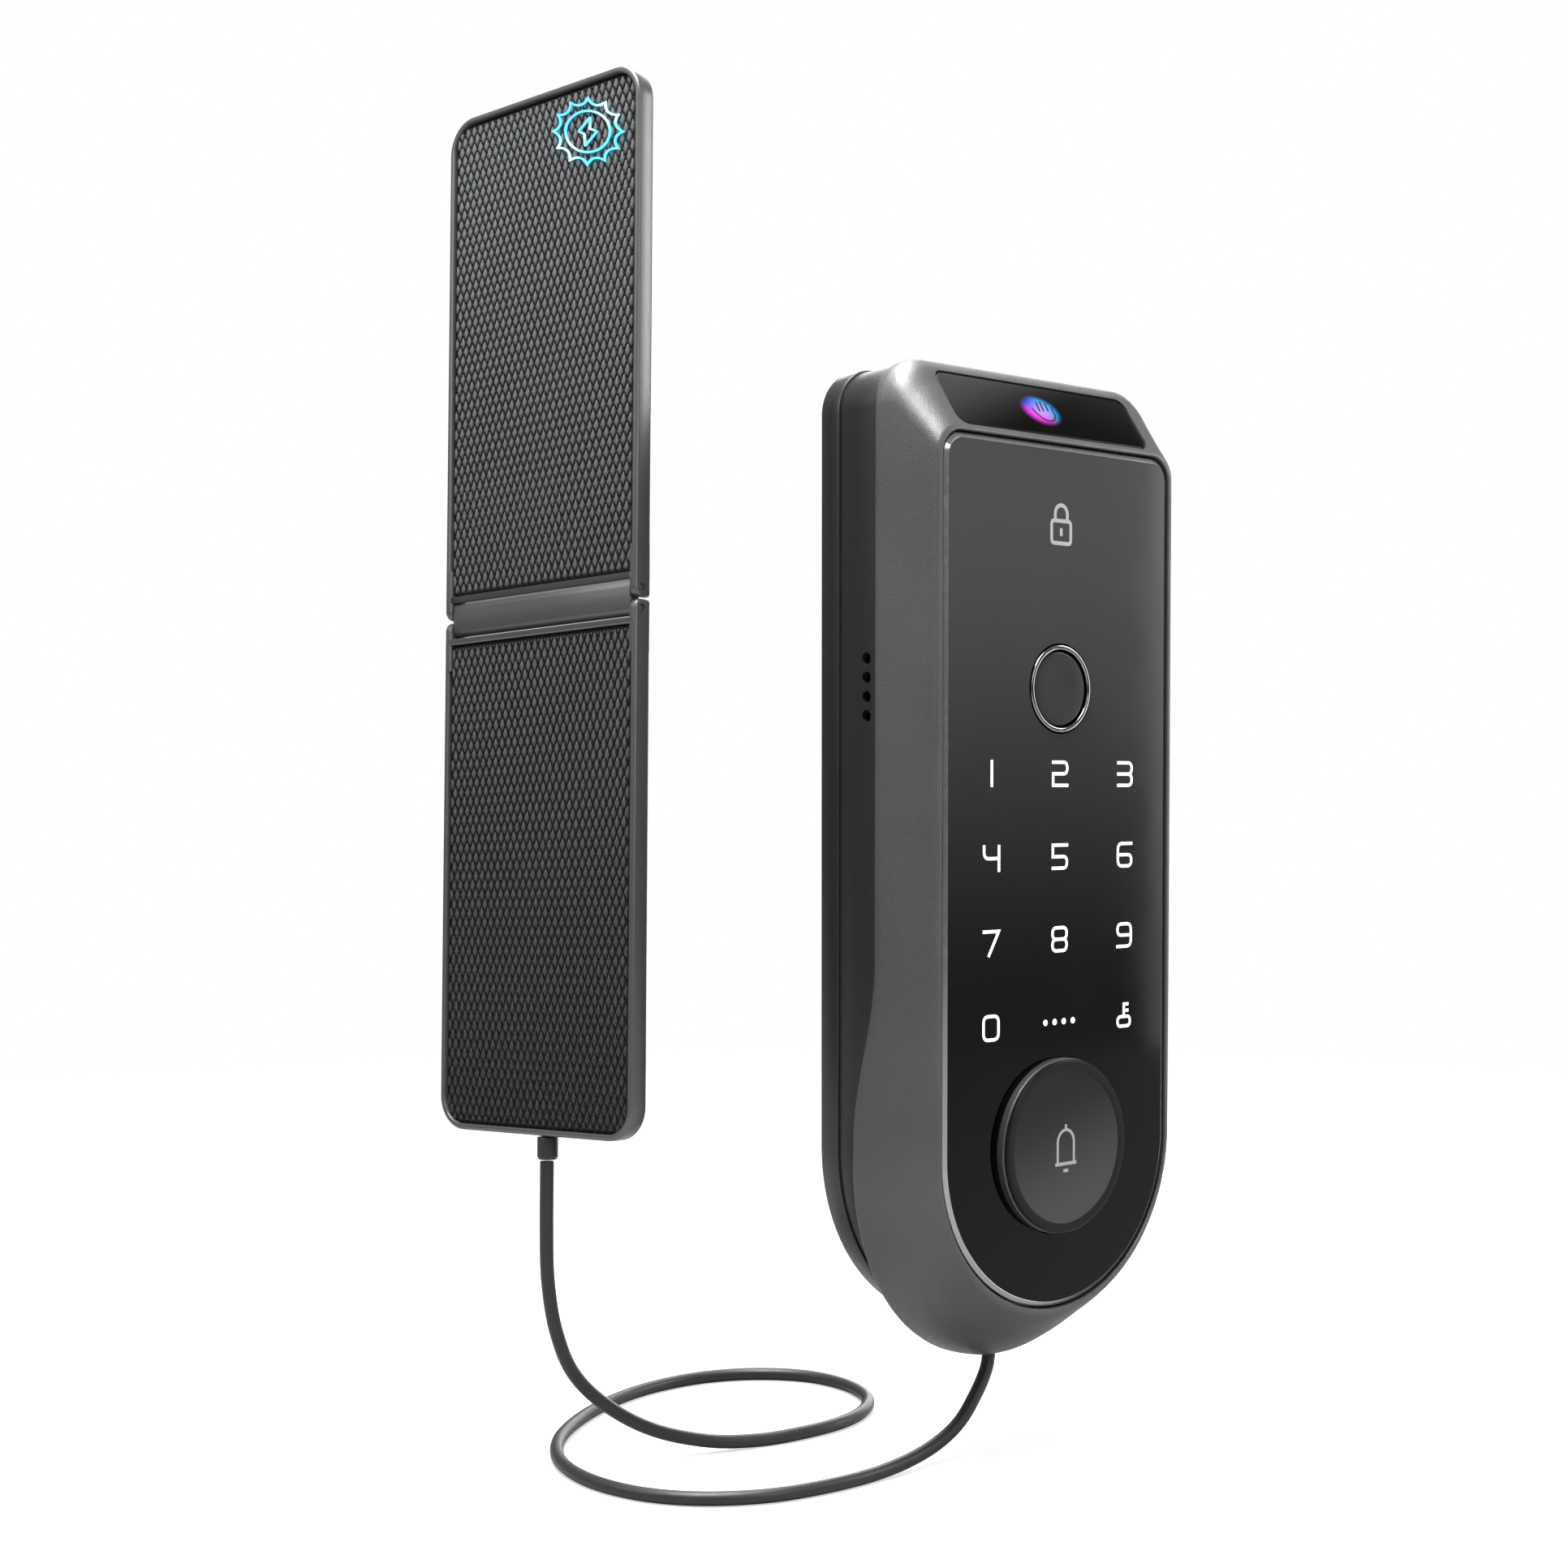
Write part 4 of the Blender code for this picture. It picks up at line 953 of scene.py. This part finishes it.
class LOCK_OT_glass(bpy.types.Operator):
    """Cover glass with its polished chamfer, and the sloping reader window"""

    bl_idname = "lock.glass"
    bl_label = "Glass"

    def execute(self, context):
        wide = context.scene.lock_sizes.glass_chamfer / MM
        pane_rows = ((0.1, GLASS_THICK), (0, GLASS_THICK - 0.1), (0, 0.75), (0.1, 0.65), (wide, 0.25),
                     (wide, 0.04), (wide + 0.05, 0.0))
        edge_rows = ((wide + 0.02, 0.4), (wide + 0.02, 0.03), (wide - 0.05, 0.012), (0.1, 0.5), (0.01, 0.62),
                     (0.01, 0.8), (0.4, 0.8))
        rings, edge = (
            [ring(drawn_in(GLASS, inset), depth) for inset, depth in rows] for rows in (pane_rows, edge_rows)
        )
        piece("glass_edge", skin(edge, joined=True), "lock", "edge", sharp=14)
        holes = [
            turned([(0, 1), (radius + 0.45, 1), (radius + 0.2, -0.2), (radius + 0.2, -3), (0, -3)],
                   (0, -DEPTH, z), steps=128)
            for radius, z in ((SENSOR_RING, SENSOR_Z), (BELL_RING, 0))
        ]
        piece("glass", skin(rings), "lock", "glass", ("glass_panel",), cuts=holes, sharp=12)
        pane = plate(box_outline(*WINDOW, count=13), 0.1, 1.15, 0.3)
        piece("window", tilted(pane), "lock", "window", ("reader_window",), sharp=40)
        return {"FINISHED"}


def glyph(strokes, half_width, half_height, width, centre):
    """The strokes of one numeral as strips, placed on the glass."""
    shapes = []
    for stroke in strokes:
        closed = stroke[-1] == "loop"
        corners = np.array(stroke[:-1] if closed else stroke, float)
        path = corners[:, :2] * (half_width, half_height)
        if not closed:
            for end, inner in ((0, 1), (-1, -2)):
                away = path[end] - path[inner]
                path[end] += away / np.linalg.norm(away) * width / 2
        shapes.append(printed(rounded(path + centre, 1.25 * corners[:, 2], closed), width, closed))
    return shapes


class LOCK_OT_marks(bpy.types.Operator):
    """Lit numerals, key, dots and padlock on the glass"""

    bl_idname = "lock.marks"
    bl_label = "Marks on the glass"

    def execute(self, context):
        sizes = context.scene.lock_sizes
        pitch_x, pitch_z, top = (v / MM for v in (sizes.key_pitch_x, sizes.key_pitch_z, sizes.key_top))
        width = sizes.numeral_stroke / MM
        half = ((sizes.numeral_width / MM - width) / 2, (sizes.numeral_height / MM - width) / 2)
        shapes = []
        for name, column, row in KEYS:
            shapes += glyph(GLYPHS[name], *half, width, (column * pitch_x, top - row * pitch_z))
        place = np.array((pitch_x, top - 3 * pitch_z))
        bow = rounded(place + [(-1.85, -0.25), (1.85, -0.25), (1.85, -2.15), (-1.85, -2.15)], 0.95, True)
        shapes.append(printed(bow, width, True))
        for start, end in (((0, -0.3), (0, 2.55)), ((0.2, 2.2), (1.4, 2.2)), ((0.2, 0.95), (1.4, 0.95))):
            shapes.append(printed(place + [start, end], width))
        dot = np.radians(np.arange(0, 360, 15))
        for x in (-3.9, -1.3, 1.3, 3.9):
            rim = np.column_stack((x + 0.62 * np.cos(dot), top - 3 * pitch_z + 0.62 * np.sin(dot)))
            shapes.append(plate(rim, -DEPTH - 0.03, PRINT_REAR))
        piece("numerals", together(*shapes), "lock", "numeral")

        body = rounded([(-2.7, 116.3), (2.7, 116.3), (2.7, 120.6), (-2.7, 120.6)], 0.8, True)
        shackle = np.vstack(([(-1.7, 120.6)], arc((0, 121.9), (1.7, 1.7), 180, 0, 25), [(1.7, 120.6)]))
        lock_lines = (
            printed(body, 0.75, True, 0.02), printed(shackle, 0.75, False, 0.025),
            printed([(0, 117.7), (0, 119.2)], 0.75, False, 0.02),
        )
        piece("padlock_print", together(*lock_lines), "lock", "grey_print")

        palm = rounded([(-3.3, 0.4), (-2.65, -1.0), (-1.43, -2.26), (0.16, -2.62), (1.7, -2.1),
                        (2.62, -0.9), (2.74, 1.5)], 1.0)
        fingers = (
            [(-1.08, 2.18), (-1.38, -0.2)], [(0.14, 2.48), (-0.2, -0.11)], [(1.43, 2.26), (1.17, 0.09)],
        )
        hand = together(*(strip(line, 0.46, 0.06, 0.12) for line in (*fingers, palm)))
        piece("palm_print", tilted(hand), "lock", "palm_print")
        return {"FINISHED"}


class LOCK_OT_fingerprint(bpy.types.Operator):
    """Polished ring and the sensor inside it"""

    bl_idname = "lock.fingerprint"
    bl_label = "Fingerprint reader"

    def execute(self, context):
        place = (0, -DEPTH, SENSOR_Z)
        profile = rounded([(7.5, 0.3), (8.42, 0.3), (8.42, -2), (9.4, -2), (9.4, -2.6), (7.5, -2.6)],
                          0.34, True)
        piece("sensor_ring", turned(profile, place, steps=120, joined=True), "lock",
              "polished", ("fingerprint_bezel",), sharp=40)
        profile = rounded([(0, -0.2), (3.5, -0.19), (6.9, -0.15), (7.2, -0.4), (7.2, -3), (5, -3), (5, -4.7),
                           (0, -4.7)], 0.2)
        piece("sensor", turned(profile, place, steps=120), "lock", "sensor",
              ("fingerprint_sensor",), sharp=40)
        return {"FINISHED"}


class LOCK_OT_doorbell(bpy.types.Operator):
    """Doorbell ring, its dished cap and the bell printed on it"""

    bl_idname = "lock.doorbell"
    bl_label = "Doorbell"

    def execute(self, context):
        place = (0, -DEPTH, 0)
        profile = rounded([(16.25, 1.5), (16.8, 1.5), (17, 1.3), (17, -2.1), (18.5, -2.1), (18.5, -3),
                           (16.25, -3)], 0.1, True)
        piece("bell_ring", turned(profile, place, steps=160, joined=True), "lock", "cast",
              ("doorbell_bezel",), sharp=40)

        dish = context.scene.lock_sizes.cap_dish / MM

        def dished(away):
            """Height of the disc over the glass: it rises by the square of the distance from its middle."""
            return CAP_RISE - dish + dish * (away / CAP_RADIUS) ** 2

        radii = spaced(0, CAP_RADIUS, 22)
        rim = rounded([(CAP_RADIUS, CAP_RISE), (14.95, 2.32), (16.5, 2.35), (16.85, 2.1), (16.85, 1.95),
                       (16, 1.95), (16, -3.4), (17.2, -3.4), (17.2, -4), (14.6, -4), (14.6, 0.6), (2.2, 0.6),
                       (2.2, -2.5), (0, -2.5)], 0.07)
        outline = np.vstack((np.column_stack((radii, dished(radii))), rim[1:]))
        piece("bell_cap", turned(outline, place, steps=160), "doorbell", "cap",
              ("doorbell_cap",), sharp=25)

        def lifted(shape):
            """Lays a shape on the dished cap: its depth follows the dish."""
            points, faces = shape
            points[:, 1] -= DEPTH + dished(np.hypot(points[:, 0], points[:, 2]))
            return points, faces

        dome = arc((0, 0.6), (2.3, 2.55), 180, 0, 33)[1:-1]
        dome = np.vstack(([(-2.3, -3.43), (-2.3, 0.6)], dome, [(2.3, 0.6), (2.3, -3.43)]))
        clapper = rounded([(-0.7, -4.45), (0.7, -4.45), (0.7, -5.1), (-0.7, -5.1)], 0.25, True)
        parts = (
            strip(dome, 0.58, -0.03, 0.02), strip([(-3.0, -3.43), (3.0, -3.43)], 0.66, -0.035, 0.02),
            strip([(0, 3.3), (0, 4.2)], 0.62, -0.035, 0.02), plate(clapper, -0.03, 0.02),
        )
        piece("bell_print", lifted(together(*parts)), "doorbell", "bell_print")
        return {"FINISHED"}


# ---------------------------------------------------------------- the panel


def leaf_ring(inset, depth, foot, end):
    """A leaf seen from the front, drawn in by inset: quarter circles at its free end, foot, and small
    ones at its hinge end, end, where the rim is drawn in less."""
    up = 1 if end > foot else -1
    half = LEAF_HALF - inset
    hinge_inset = np.interp(inset, (0, RIM_ROUND, RIM, 9), (0, 0.12, RIM, 9))
    low, high = (foot + inset, end - hinge_inset) if up > 0 else (end + hinge_inset, foot - inset)
    at_foot, at_end = max(LEAF_CORNER - inset, 0.3), max((1 - inset) * 0.5, 0.12)
    below, above = (at_foot, at_end) if up > 0 else (at_end, at_foot)
    points = np.vstack((
        arc((half - above, high - above), (above, above), 0, 90, 15),
        arc((above - half, high - above), (above, above), 90, 180, 15),
        arc((below - half, low + below), (below, below), 180, 270, 15),
        arc((half - below, low + below), (below, below), 270, 360, 15),
    ))
    return np.column_stack((points[:, 0], np.full(len(points), depth), points[:, 1]))


def leaf_shape(foot, up, edge):
    """A tray carried along the leaf's outline: well, flat rim, round front edge, side, round back."""
    end = HINGE_Z - up * BODY_END
    rows = [(RIM, 1.8), (RIM, 0.25), (RIM - 0.1, 0.06), (RIM - 0.22, 0.0), (edge, 0.0)]
    rows += rounding(edge, (25, 45, 65, 90))
    rows.append((0, LEAF_THICK - REAR_ROUND))
    rows += [(inset, LEAF_THICK - ahead) for ahead, inset in rounding(REAR_ROUND, (25, 45, 65, 90))]
    return skin([leaf_ring(inset, depth, foot, end) for inset, depth in rows])


def cheek_shape(side, up, edge):
    """A hinge cheek: its side view, round about the pin in front and square behind, carried across
    its width and drawn in towards its outer face's edges."""
    pin = HINGE_Z - up * PIN_OFFSET

    def view(inset):
        radius = PIN_DEPTH - inset
        nose = arc((PIN_DEPTH + 0.01, pin), (-radius, up * radius), 0, 90, 16)
        rear = LEAF_THICK - inset
        tip = pin + up * radius
        back = [(rear - 0.45, tip), (rear - 0.13, tip - up * 0.13), (rear, tip - up * 0.45)]
        foot = [(rear, pin - up * CHEEK_LENGTH), (inset, pin - up * CHEEK_LENGTH)]
        return np.vstack((nose, back, foot))

    outer, inner = side * (LEAF_HALF - 0.01), side * (LEAF_HALF - CHEEK)
    rows = [(inner, 0.25), (inner + side * 0.1, 0.08), (inner + side * 0.3, 0.0)]
    rows += [(outer - side * back, inset) for inset, back in rounding(edge, (90, 65, 45, 25, 0))]
    return skin([np.column_stack((np.full(len(view(inset)), x), view(inset))) for x, inset in rows])


def cell_shape(foot, up, depth):
    """The embossed pane. Over a grid of x and z, the lozenge of each point is the nearer of two
    lattices half a pitch apart; with d the sum of its shares of half the pitch each way, height is a
    flat top that falls steeply as d nears 1. Points past a round corner are drawn back to its arc."""
    inset = RIM + 0.15
    half = LEAF_HALF - inset
    end = HINGE_Z - up * (BODY_END + inset)
    low, high = sorted((foot + up * inset, end))
    columns, rows = 225, 257
    x, z = np.meshgrid(spaced(-half, half, columns), spaced(low, high, rows))
    pitch_x, pitch_z = LOZENGE

    def share(shift):
        s = ((x / pitch_x + shift + 0.5) % 1 - 0.5) * 2
        t = ((z / pitch_z + shift + 0.5) % 1 - 0.5) * 2
        return np.abs(s) + np.abs(t), (s - t) / 2

    one, other = share(0), share(0.5)
    near = np.minimum(one[0], other[0])
    side = np.where(one[0] < other[0], one[1], other[1])
    # The fall starts further in towards each lozenge's lower right. The same share sets the film's colour,
    # so besides the height it carries painted shade in the grooves and painted shadow on each lozenge's
    # lower right.
    relief_and_shade = np.clip((1 - near) / (0.22 + 0.7 * np.clip(side + 0.4, 0, 1)), 0, 1)
    relief_and_shade = relief_and_shade * relief_and_shade * (3 - 2 * relief_and_shade)
    crown = 0.05 + 0.07 * side
    edge = np.minimum(half - np.abs(x), np.minimum(z - low, high - z))
    relief_and_shade *= np.clip((edge - 0.3) / 0.35, 0, 1)
    y = CELL_FRONT + depth * (1 - relief_and_shade) + 0.1 - crown * relief_and_shade

    corner = LEAF_CORNER - inset
    centre_x = half - corner
    centre_z = low + corner if up > 0 else high - corner
    out_x = np.maximum(np.abs(x) - centre_x, 0)
    out_z = np.maximum((centre_z - z) * up, 0)
    far = np.hypot(out_x, out_z)
    past = (far > corner) & (out_x > 0) & (out_z > 0)
    pull = np.where(past, corner / np.maximum(far, 1e-9), 1)
    x = np.where(past, np.sign(x) * (centre_x + out_x * pull), x)
    z = np.where(past, centre_z - up * out_z * pull, z)
    index = np.arange(rows * columns).reshape(rows, columns)
    corners = np.stack((index[:-1, :-1], index[:-1, 1:], index[1:, 1:], index[1:, :-1]), axis=-1)
    corners = corners.reshape(-1, 4)
    kept = ~past.ravel()[corners].all(axis=1)
    points = np.stack((x, y, z), axis=-1).reshape(-1, 3)
    return points, corners[kept], relief_and_shade.ravel()


def cell_piece(name, shape, body, replaces):
    """The pane as an object: its front from the grid, its sides drawn back and its back closed."""
    points, corners, relief_and_shade = shape
    placed = on_panel((points, []))[0] * MM
    mesh = bpy.data.meshes.new(name)
    mesh.from_pydata(placed.tolist(), [], corners.tolist())
    held = mesh.attributes.new("relief_and_shade", "FLOAT", "POINT")
    held.data.foreach_set("value", relief_and_shade.astype(np.float32))
    made = bmesh.new()
    made.from_mesh(mesh)
    loose = [v for v in made.verts if not v.link_faces]
    bmesh.ops.delete(made, geom=loose, context="VERTS")
    border = [e for e in made.edges if e.is_boundary]
    sides = bmesh.ops.extrude_edge_only(made, edges=border)["geom"]
    back = Vector(PANEL_MATRIX.to_3x3() @ Vector((0, 1, 0))) * MM
    origin = Vector(PANEL_FOOT) * MM
    for vert in (g for g in sides if isinstance(g, bmesh.types.BMVert)):
        vert.co += back * (CELL_BACK - (vert.co - origin).dot(back) / MM**2)
    rim = [g for g in sides if isinstance(g, bmesh.types.BMEdge) and g.is_boundary]
    bmesh.ops.edgeloop_fill(made, edges=rim)
    bmesh.ops.recalc_face_normals(made, faces=made.faces)
    made.to_mesh(mesh)
    made.free()
    mesh.materials.append(FINISHES["cell"])
    mesh.shade_smooth()
    mesh.set_sharp_from_angle(angle=math.radians(60))
    pane = bpy.data.objects.new(name, mesh)
    bpy.context.scene.collection.objects.link(pane)
    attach(pane, body)
    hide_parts(*replaces)


class LOCK_OT_panel_frames(bpy.types.Operator):
    """The panel's two trays with their hinge cheeks, the hinge bar and its pins"""

    bl_idname = "lock.panel_frames"
    bl_label = "Panel frames and hinge"

    def execute(self, context):
        edge = context.scene.panel_sizes.frame_edge / MM
        sides = (("left", -1), ("right", 1))
        for prefix, foot, up, body in (("lower", 0, 1, "lock"), ("upper", 2 * HINGE_Z, -1, "upper_leaf")):
            axis = (0, PIN_DEPTH, HINGE_Z - up * PIN_OFFSET)
            end = HINGE_Z - up * BODY_END
            cuts = ()
            if prefix == "upper":
                channel = box_outline(2 * (LEAF_HALF - CHEEK), 2 * (RIM + 0.2), 0.05, (0, end))
                cuts = [on_panel(plate(channel, -1, 0.75))]
            piece(f"{prefix}_tray", on_panel(leaf_shape(foot, up, edge)), body, "alloy",
                  (f"{prefix}_leaf_frame",), cuts=cuts, sharp=34)
            for name, side in sides:
                hole = turned([(0, side * 30), (0.95, side * 30), (0.67, side * 26.3), (0.67, side * 24),
                               (0, side * 24)], axis, "x", 40)
                piece(f"{prefix}_cheek_{name}", on_panel(cheek_shape(side, up, edge)), body,
                      "alloy", cuts=[on_panel(hole)], sharp=34)
            # painted shadow: a black rubber strip laid in the upper tray's recessed hinge-end rim, a dark
            # sheet standing in for the shade there
            if prefix == "upper":
                channel = box_outline(2 * (LEAF_HALF - CHEEK) - 0.1, RIM + 0.1, 0.2, (0, end + RIM / 2))
                shadow_strip_shape = plate(channel, 0.55, 1.2, 0.15)
                piece("painted_shadow_strip", on_panel(shadow_strip_shape), body, "rubber")
            for name, side in sides:
                profile = rounded([(0, side * 26.35), (0.45, side * 26.35), (PIN_RADIUS, side * 26.2),
                                   (PIN_RADIUS, side * 22.4), (0, side * 22.3)], 0.08)
                piece(f"{prefix}_pin_{name}", on_panel(turned(profile, axis, "x", 40)), body,
                      "alloy", (f"{prefix}_hinge_pin_{name}",), sharp=40)

        reach = LEAF_HALF - CHEEK - 0.25
        low, high = HINGE_Z - PIN_OFFSET - 1.2, HINGE_Z + PIN_OFFSET + 1.2
        outline = [(0.72, high), (3.0, high), (3.0, low), (1.3, low), (0.6, low + 0.85), (0.4, high - 3.0),
                   (0.5, high - 0.95)]
        outline = rounded(outline, (0.12, 0.9, 0.9, 0.4, 0.5, 1.5, 0.12), True)
        ends = ((reach, 0.25), (reach - 0.08, 0.08), (reach - 0.25, 0))
        rows = [(-x, inset) for x, inset in ends] + list(ends[::-1])
        rings = [np.column_stack((np.full(len(outline), x), shrunk(outline, inset))) for x, inset in rows]
        piece("bar", on_panel(skin(rings)), "hinge_bar", "alloy", ("hinge_bar",), sharp=28)
        return {"FINISHED"}


class LOCK_OT_panel_cells(bpy.types.Operator):
    """The embossed panes over the cells and the lit sun on the upper one"""

    bl_idname = "lock.panel_cells"
    bl_label = "Panel cells"

    def execute(self, context):
        sizes = context.scene.panel_sizes
        depth, width = sizes.lozenge_depth / MM, sizes.mark_stroke / MM
        cell_piece("lower_pane", cell_shape(0, 1, depth), "lock", ("lower_solar_cell",))
        cell_piece("upper_pane", cell_shape(2 * HINGE_Z, -1, depth), "upper_leaf", ("upper_solar_cell",))

        tips = np.radians(np.arange(12) * 30)
        t = spaced(0, 1, 13)[:-1, None, None]
        tip, dip = (
            np.stack((np.sin(angles), np.cos(angles)), axis=-1)[None] * radius
            for angles, radius in ((tips, 6.35), (tips + math.pi / 12, 4.35))
        )
        sun = (1 - t) ** 2 * tip + 2 * t * (1 - t) * dip + t**2 * np.roll(tip, -1, 1)
        sun = sun.transpose(1, 0, 2).reshape(-1, 2)
        disc = arc((0, 0), (4.05, 3.95), 0, 360, 73)[:-1]
        bolt = rounded([(0.42, 2.7), (-1.65, 0.0), (-0.6, -0.45), (-0.42, -2.75), (1.72, 0.0), (0.38, 0.55)],
                       0.2, True)
        shapes = []
        for line in (sun, disc, bolt):
            points, faces = strip(line, width, 0.22, 0.4, True)
            points[:, 0] *= MARK_STRETCH
            points[:, 2] += MARK_CENTRE[1] - MARK_SLANT * points[:, 0]
            points[:, 0] += MARK_CENTRE[0]
            shapes.append((points, faces))
        piece("sun_mark", on_panel(together(*shapes)), "upper_leaf", "mark")
        return {"FINISHED"}


# ---------------------------------------------------------------- the stage


# Name, place, target, width and height in metres, watts, degrees turned about its own axis
LIGHTS = (
    ("overhead", (-0.14, 0.0, 0.8), (-0.03, 0, 0.12), (0.3, 0.72), 24, 40),
    ("right_high", (0.62, -0.4, 0.42), (-0.05, 0, 0.15), (0.2, 0.3), 2.2, 0),
    ("right_low", (0.62, -0.4, 0.1), (-0.05, 0, 0.08), (0.2, 0.34), 1.0, 0),
    ("left", (-0.7, 0.2, 0.52), (-0.02, 0, 0.15), (0.4, 0.4), 1.6, 0),
    ("left_back", (-0.45, 0.6, 0.4), (-0.05, 0, 0.1), (0.4, 0.5), 0.2, 0),
    ("front", (-0.1, -0.95, 0.5), (0, 0, 0.1), (0.3, 0.55), 3.0, 0),
    ("back", (0.5, 0.5, 0.55), (0.02, 0.02, 0.05), (0.5, 0.5), 3.2, 0),
    ("low_right", (0.45, 0.25, 0.1), (0, 0, -0.02), (0.4, 0.3), 1.5, 0),
)


def area_light(name, place, target, size, power, roll):
    """A soft light at place that faces target, turned about its own axis by roll degrees."""
    data = bpy.data.lights.new(name, "AREA")
    data.shape, data.size, data.size_y = "RECTANGLE", size[0], size[1]
    data.energy = power
    light = bpy.data.objects.new(name, data)
    bpy.context.scene.collection.objects.link(light)
    light.location = place
    facing = (Vector(target) - Vector(place)).to_track_quat("-Z", "Y").to_matrix()
    light.rotation_euler = (facing @ Matrix.Rotation(math.radians(roll), 3, "Z")).to_euler()


class LOCK_OT_stage(bpy.types.Operator):
    """Pale floor, soft lights and the pale surround"""

    bl_idname = "lock.stage"
    bl_label = "Stage"

    def execute(self, context):
        scene = context.scene
        tint = tuple(scene.lock_colours.floor)
        made, tree, shader = new_finish("studio_floor", 0.0, 0.6, Specular_IOR_Level=0.1)
        place = object_space(tree)
        seen = node(tree, "ShaderNodeLightPath").outputs["Is Camera Ray"]
        pale = blended(tree, noise(tree, place, 6.0), shaded(tint, 0.99), shaded(tint, 1.01))
        feed(shader, Base_Color=blended(tree, seen, (0.35, 0.35, 0.35), pale))
        away = node(tree, "ShaderNodeVectorMath", {0: place}, operation="LENGTH").outputs["Value"]
        glow = node(tree, "ShaderNodeEmission", {"Color": (1, 1, 1, 1)})
        share = maths(tree, "MULTIPLY", seen, ranged(tree, away, 0.55, 1, 0.12, 0.7, "SMOOTHSTEP"))
        mixed = node(tree, "ShaderNodeMixShader", {0: share, 1: shader.outputs[0], 2: glow.outputs[0]})
        tree.links.new(mixed.outputs[0], tree.nodes["Material Output"].inputs["Surface"])
        disc = [(radius, FLOOR_Z) for radius in (0.02, 400, 1500, 4000, 9000)]
        rings = turned(disc, (0, 0, 0), "z")[0].reshape(len(disc), -1, 3)
        floor = bpy.data.objects.new("floor", mesh_of("floor", skin(rings, caps=False)))
        floor.data.materials.append(made)
        scene.collection.objects.link(floor)

        world = bpy.data.worlds.new("studio")
        world.use_nodes = True
        scene.world = world
        tree = world.node_tree
        seen = node(tree, "ShaderNodeLightPath").outputs["Is Camera Ray"]
        height = split(tree, node(tree, "ShaderNodeTexCoord").outputs["Generated"])["Z"]
        share = ranged(tree, height, 0, 1, -0.15, 0.75)
        surround = blended(tree, share, (0.12, 0.12, 0.122), (0.45, 0.45, 0.455))
        feed(tree.nodes["Background"], Color=blended(tree, seen, surround, (1, 1, 1)))

        for name, place, target, size, power, roll in LIGHTS:
            area_light(name, place, target, size, power * scene.lock_stage.power, roll)
        scene.view_settings.view_transform = "Standard"
        scene.view_settings.look = "None"
        return {"FINISHED"}


# ---------------------------------------------------------------- add-on


PIECES = (
    LOCK_OT_finishes, LOCK_OT_camera, LOCK_OT_lead, LOCK_OT_front_housing, LOCK_OT_middle_and_back,
    LOCK_OT_fixings, LOCK_OT_glass, LOCK_OT_marks, LOCK_OT_fingerprint, LOCK_OT_doorbell,
    LOCK_OT_panel_frames, LOCK_OT_panel_cells, LOCK_OT_stage,
)
SETTINGS = (
    ("lock_sizes", LockSizes), ("panel_sizes", PanelSizes), ("lock_colours", LockColours),
    ("lock_stage", StageSettings),
)


class LOCK_PT_panel(bpy.types.Panel):
    """Sizes, colours and the steps that make the lock"""

    bl_idname = "LOCK_PT_panel"
    bl_label = "Smart lock"
    bl_space_type = "VIEW_3D"
    bl_region_type = "UI"
    bl_category = "Smart lock"

    def draw(self, context):
        for name, group in SETTINGS:
            column = self.layout.column(align=True)
            for key in group.__annotations__:
                column.prop(getattr(context.scene, name), key)
        for step in PIECES:
            self.layout.operator(step.bl_idname)


def register():
    for name, group in SETTINGS:
        bpy.utils.register_class(group)
        setattr(bpy.types.Scene, name, PointerProperty(type=group))
    for made in (*PIECES, LOCK_PT_panel):
        bpy.utils.register_class(made)


def unregister():
    for made in (LOCK_PT_panel, *reversed(PIECES)):
        bpy.utils.unregister_class(made)
    for name, group in reversed(SETTINGS):
        delattr(bpy.types.Scene, name)
        bpy.utils.unregister_class(group)


def main():
    register()
    for step in PIECES:
        family, name = step.bl_idname.split(".")
        getattr(getattr(bpy.ops, family), name)()


if __name__ == "__main__":
    main()
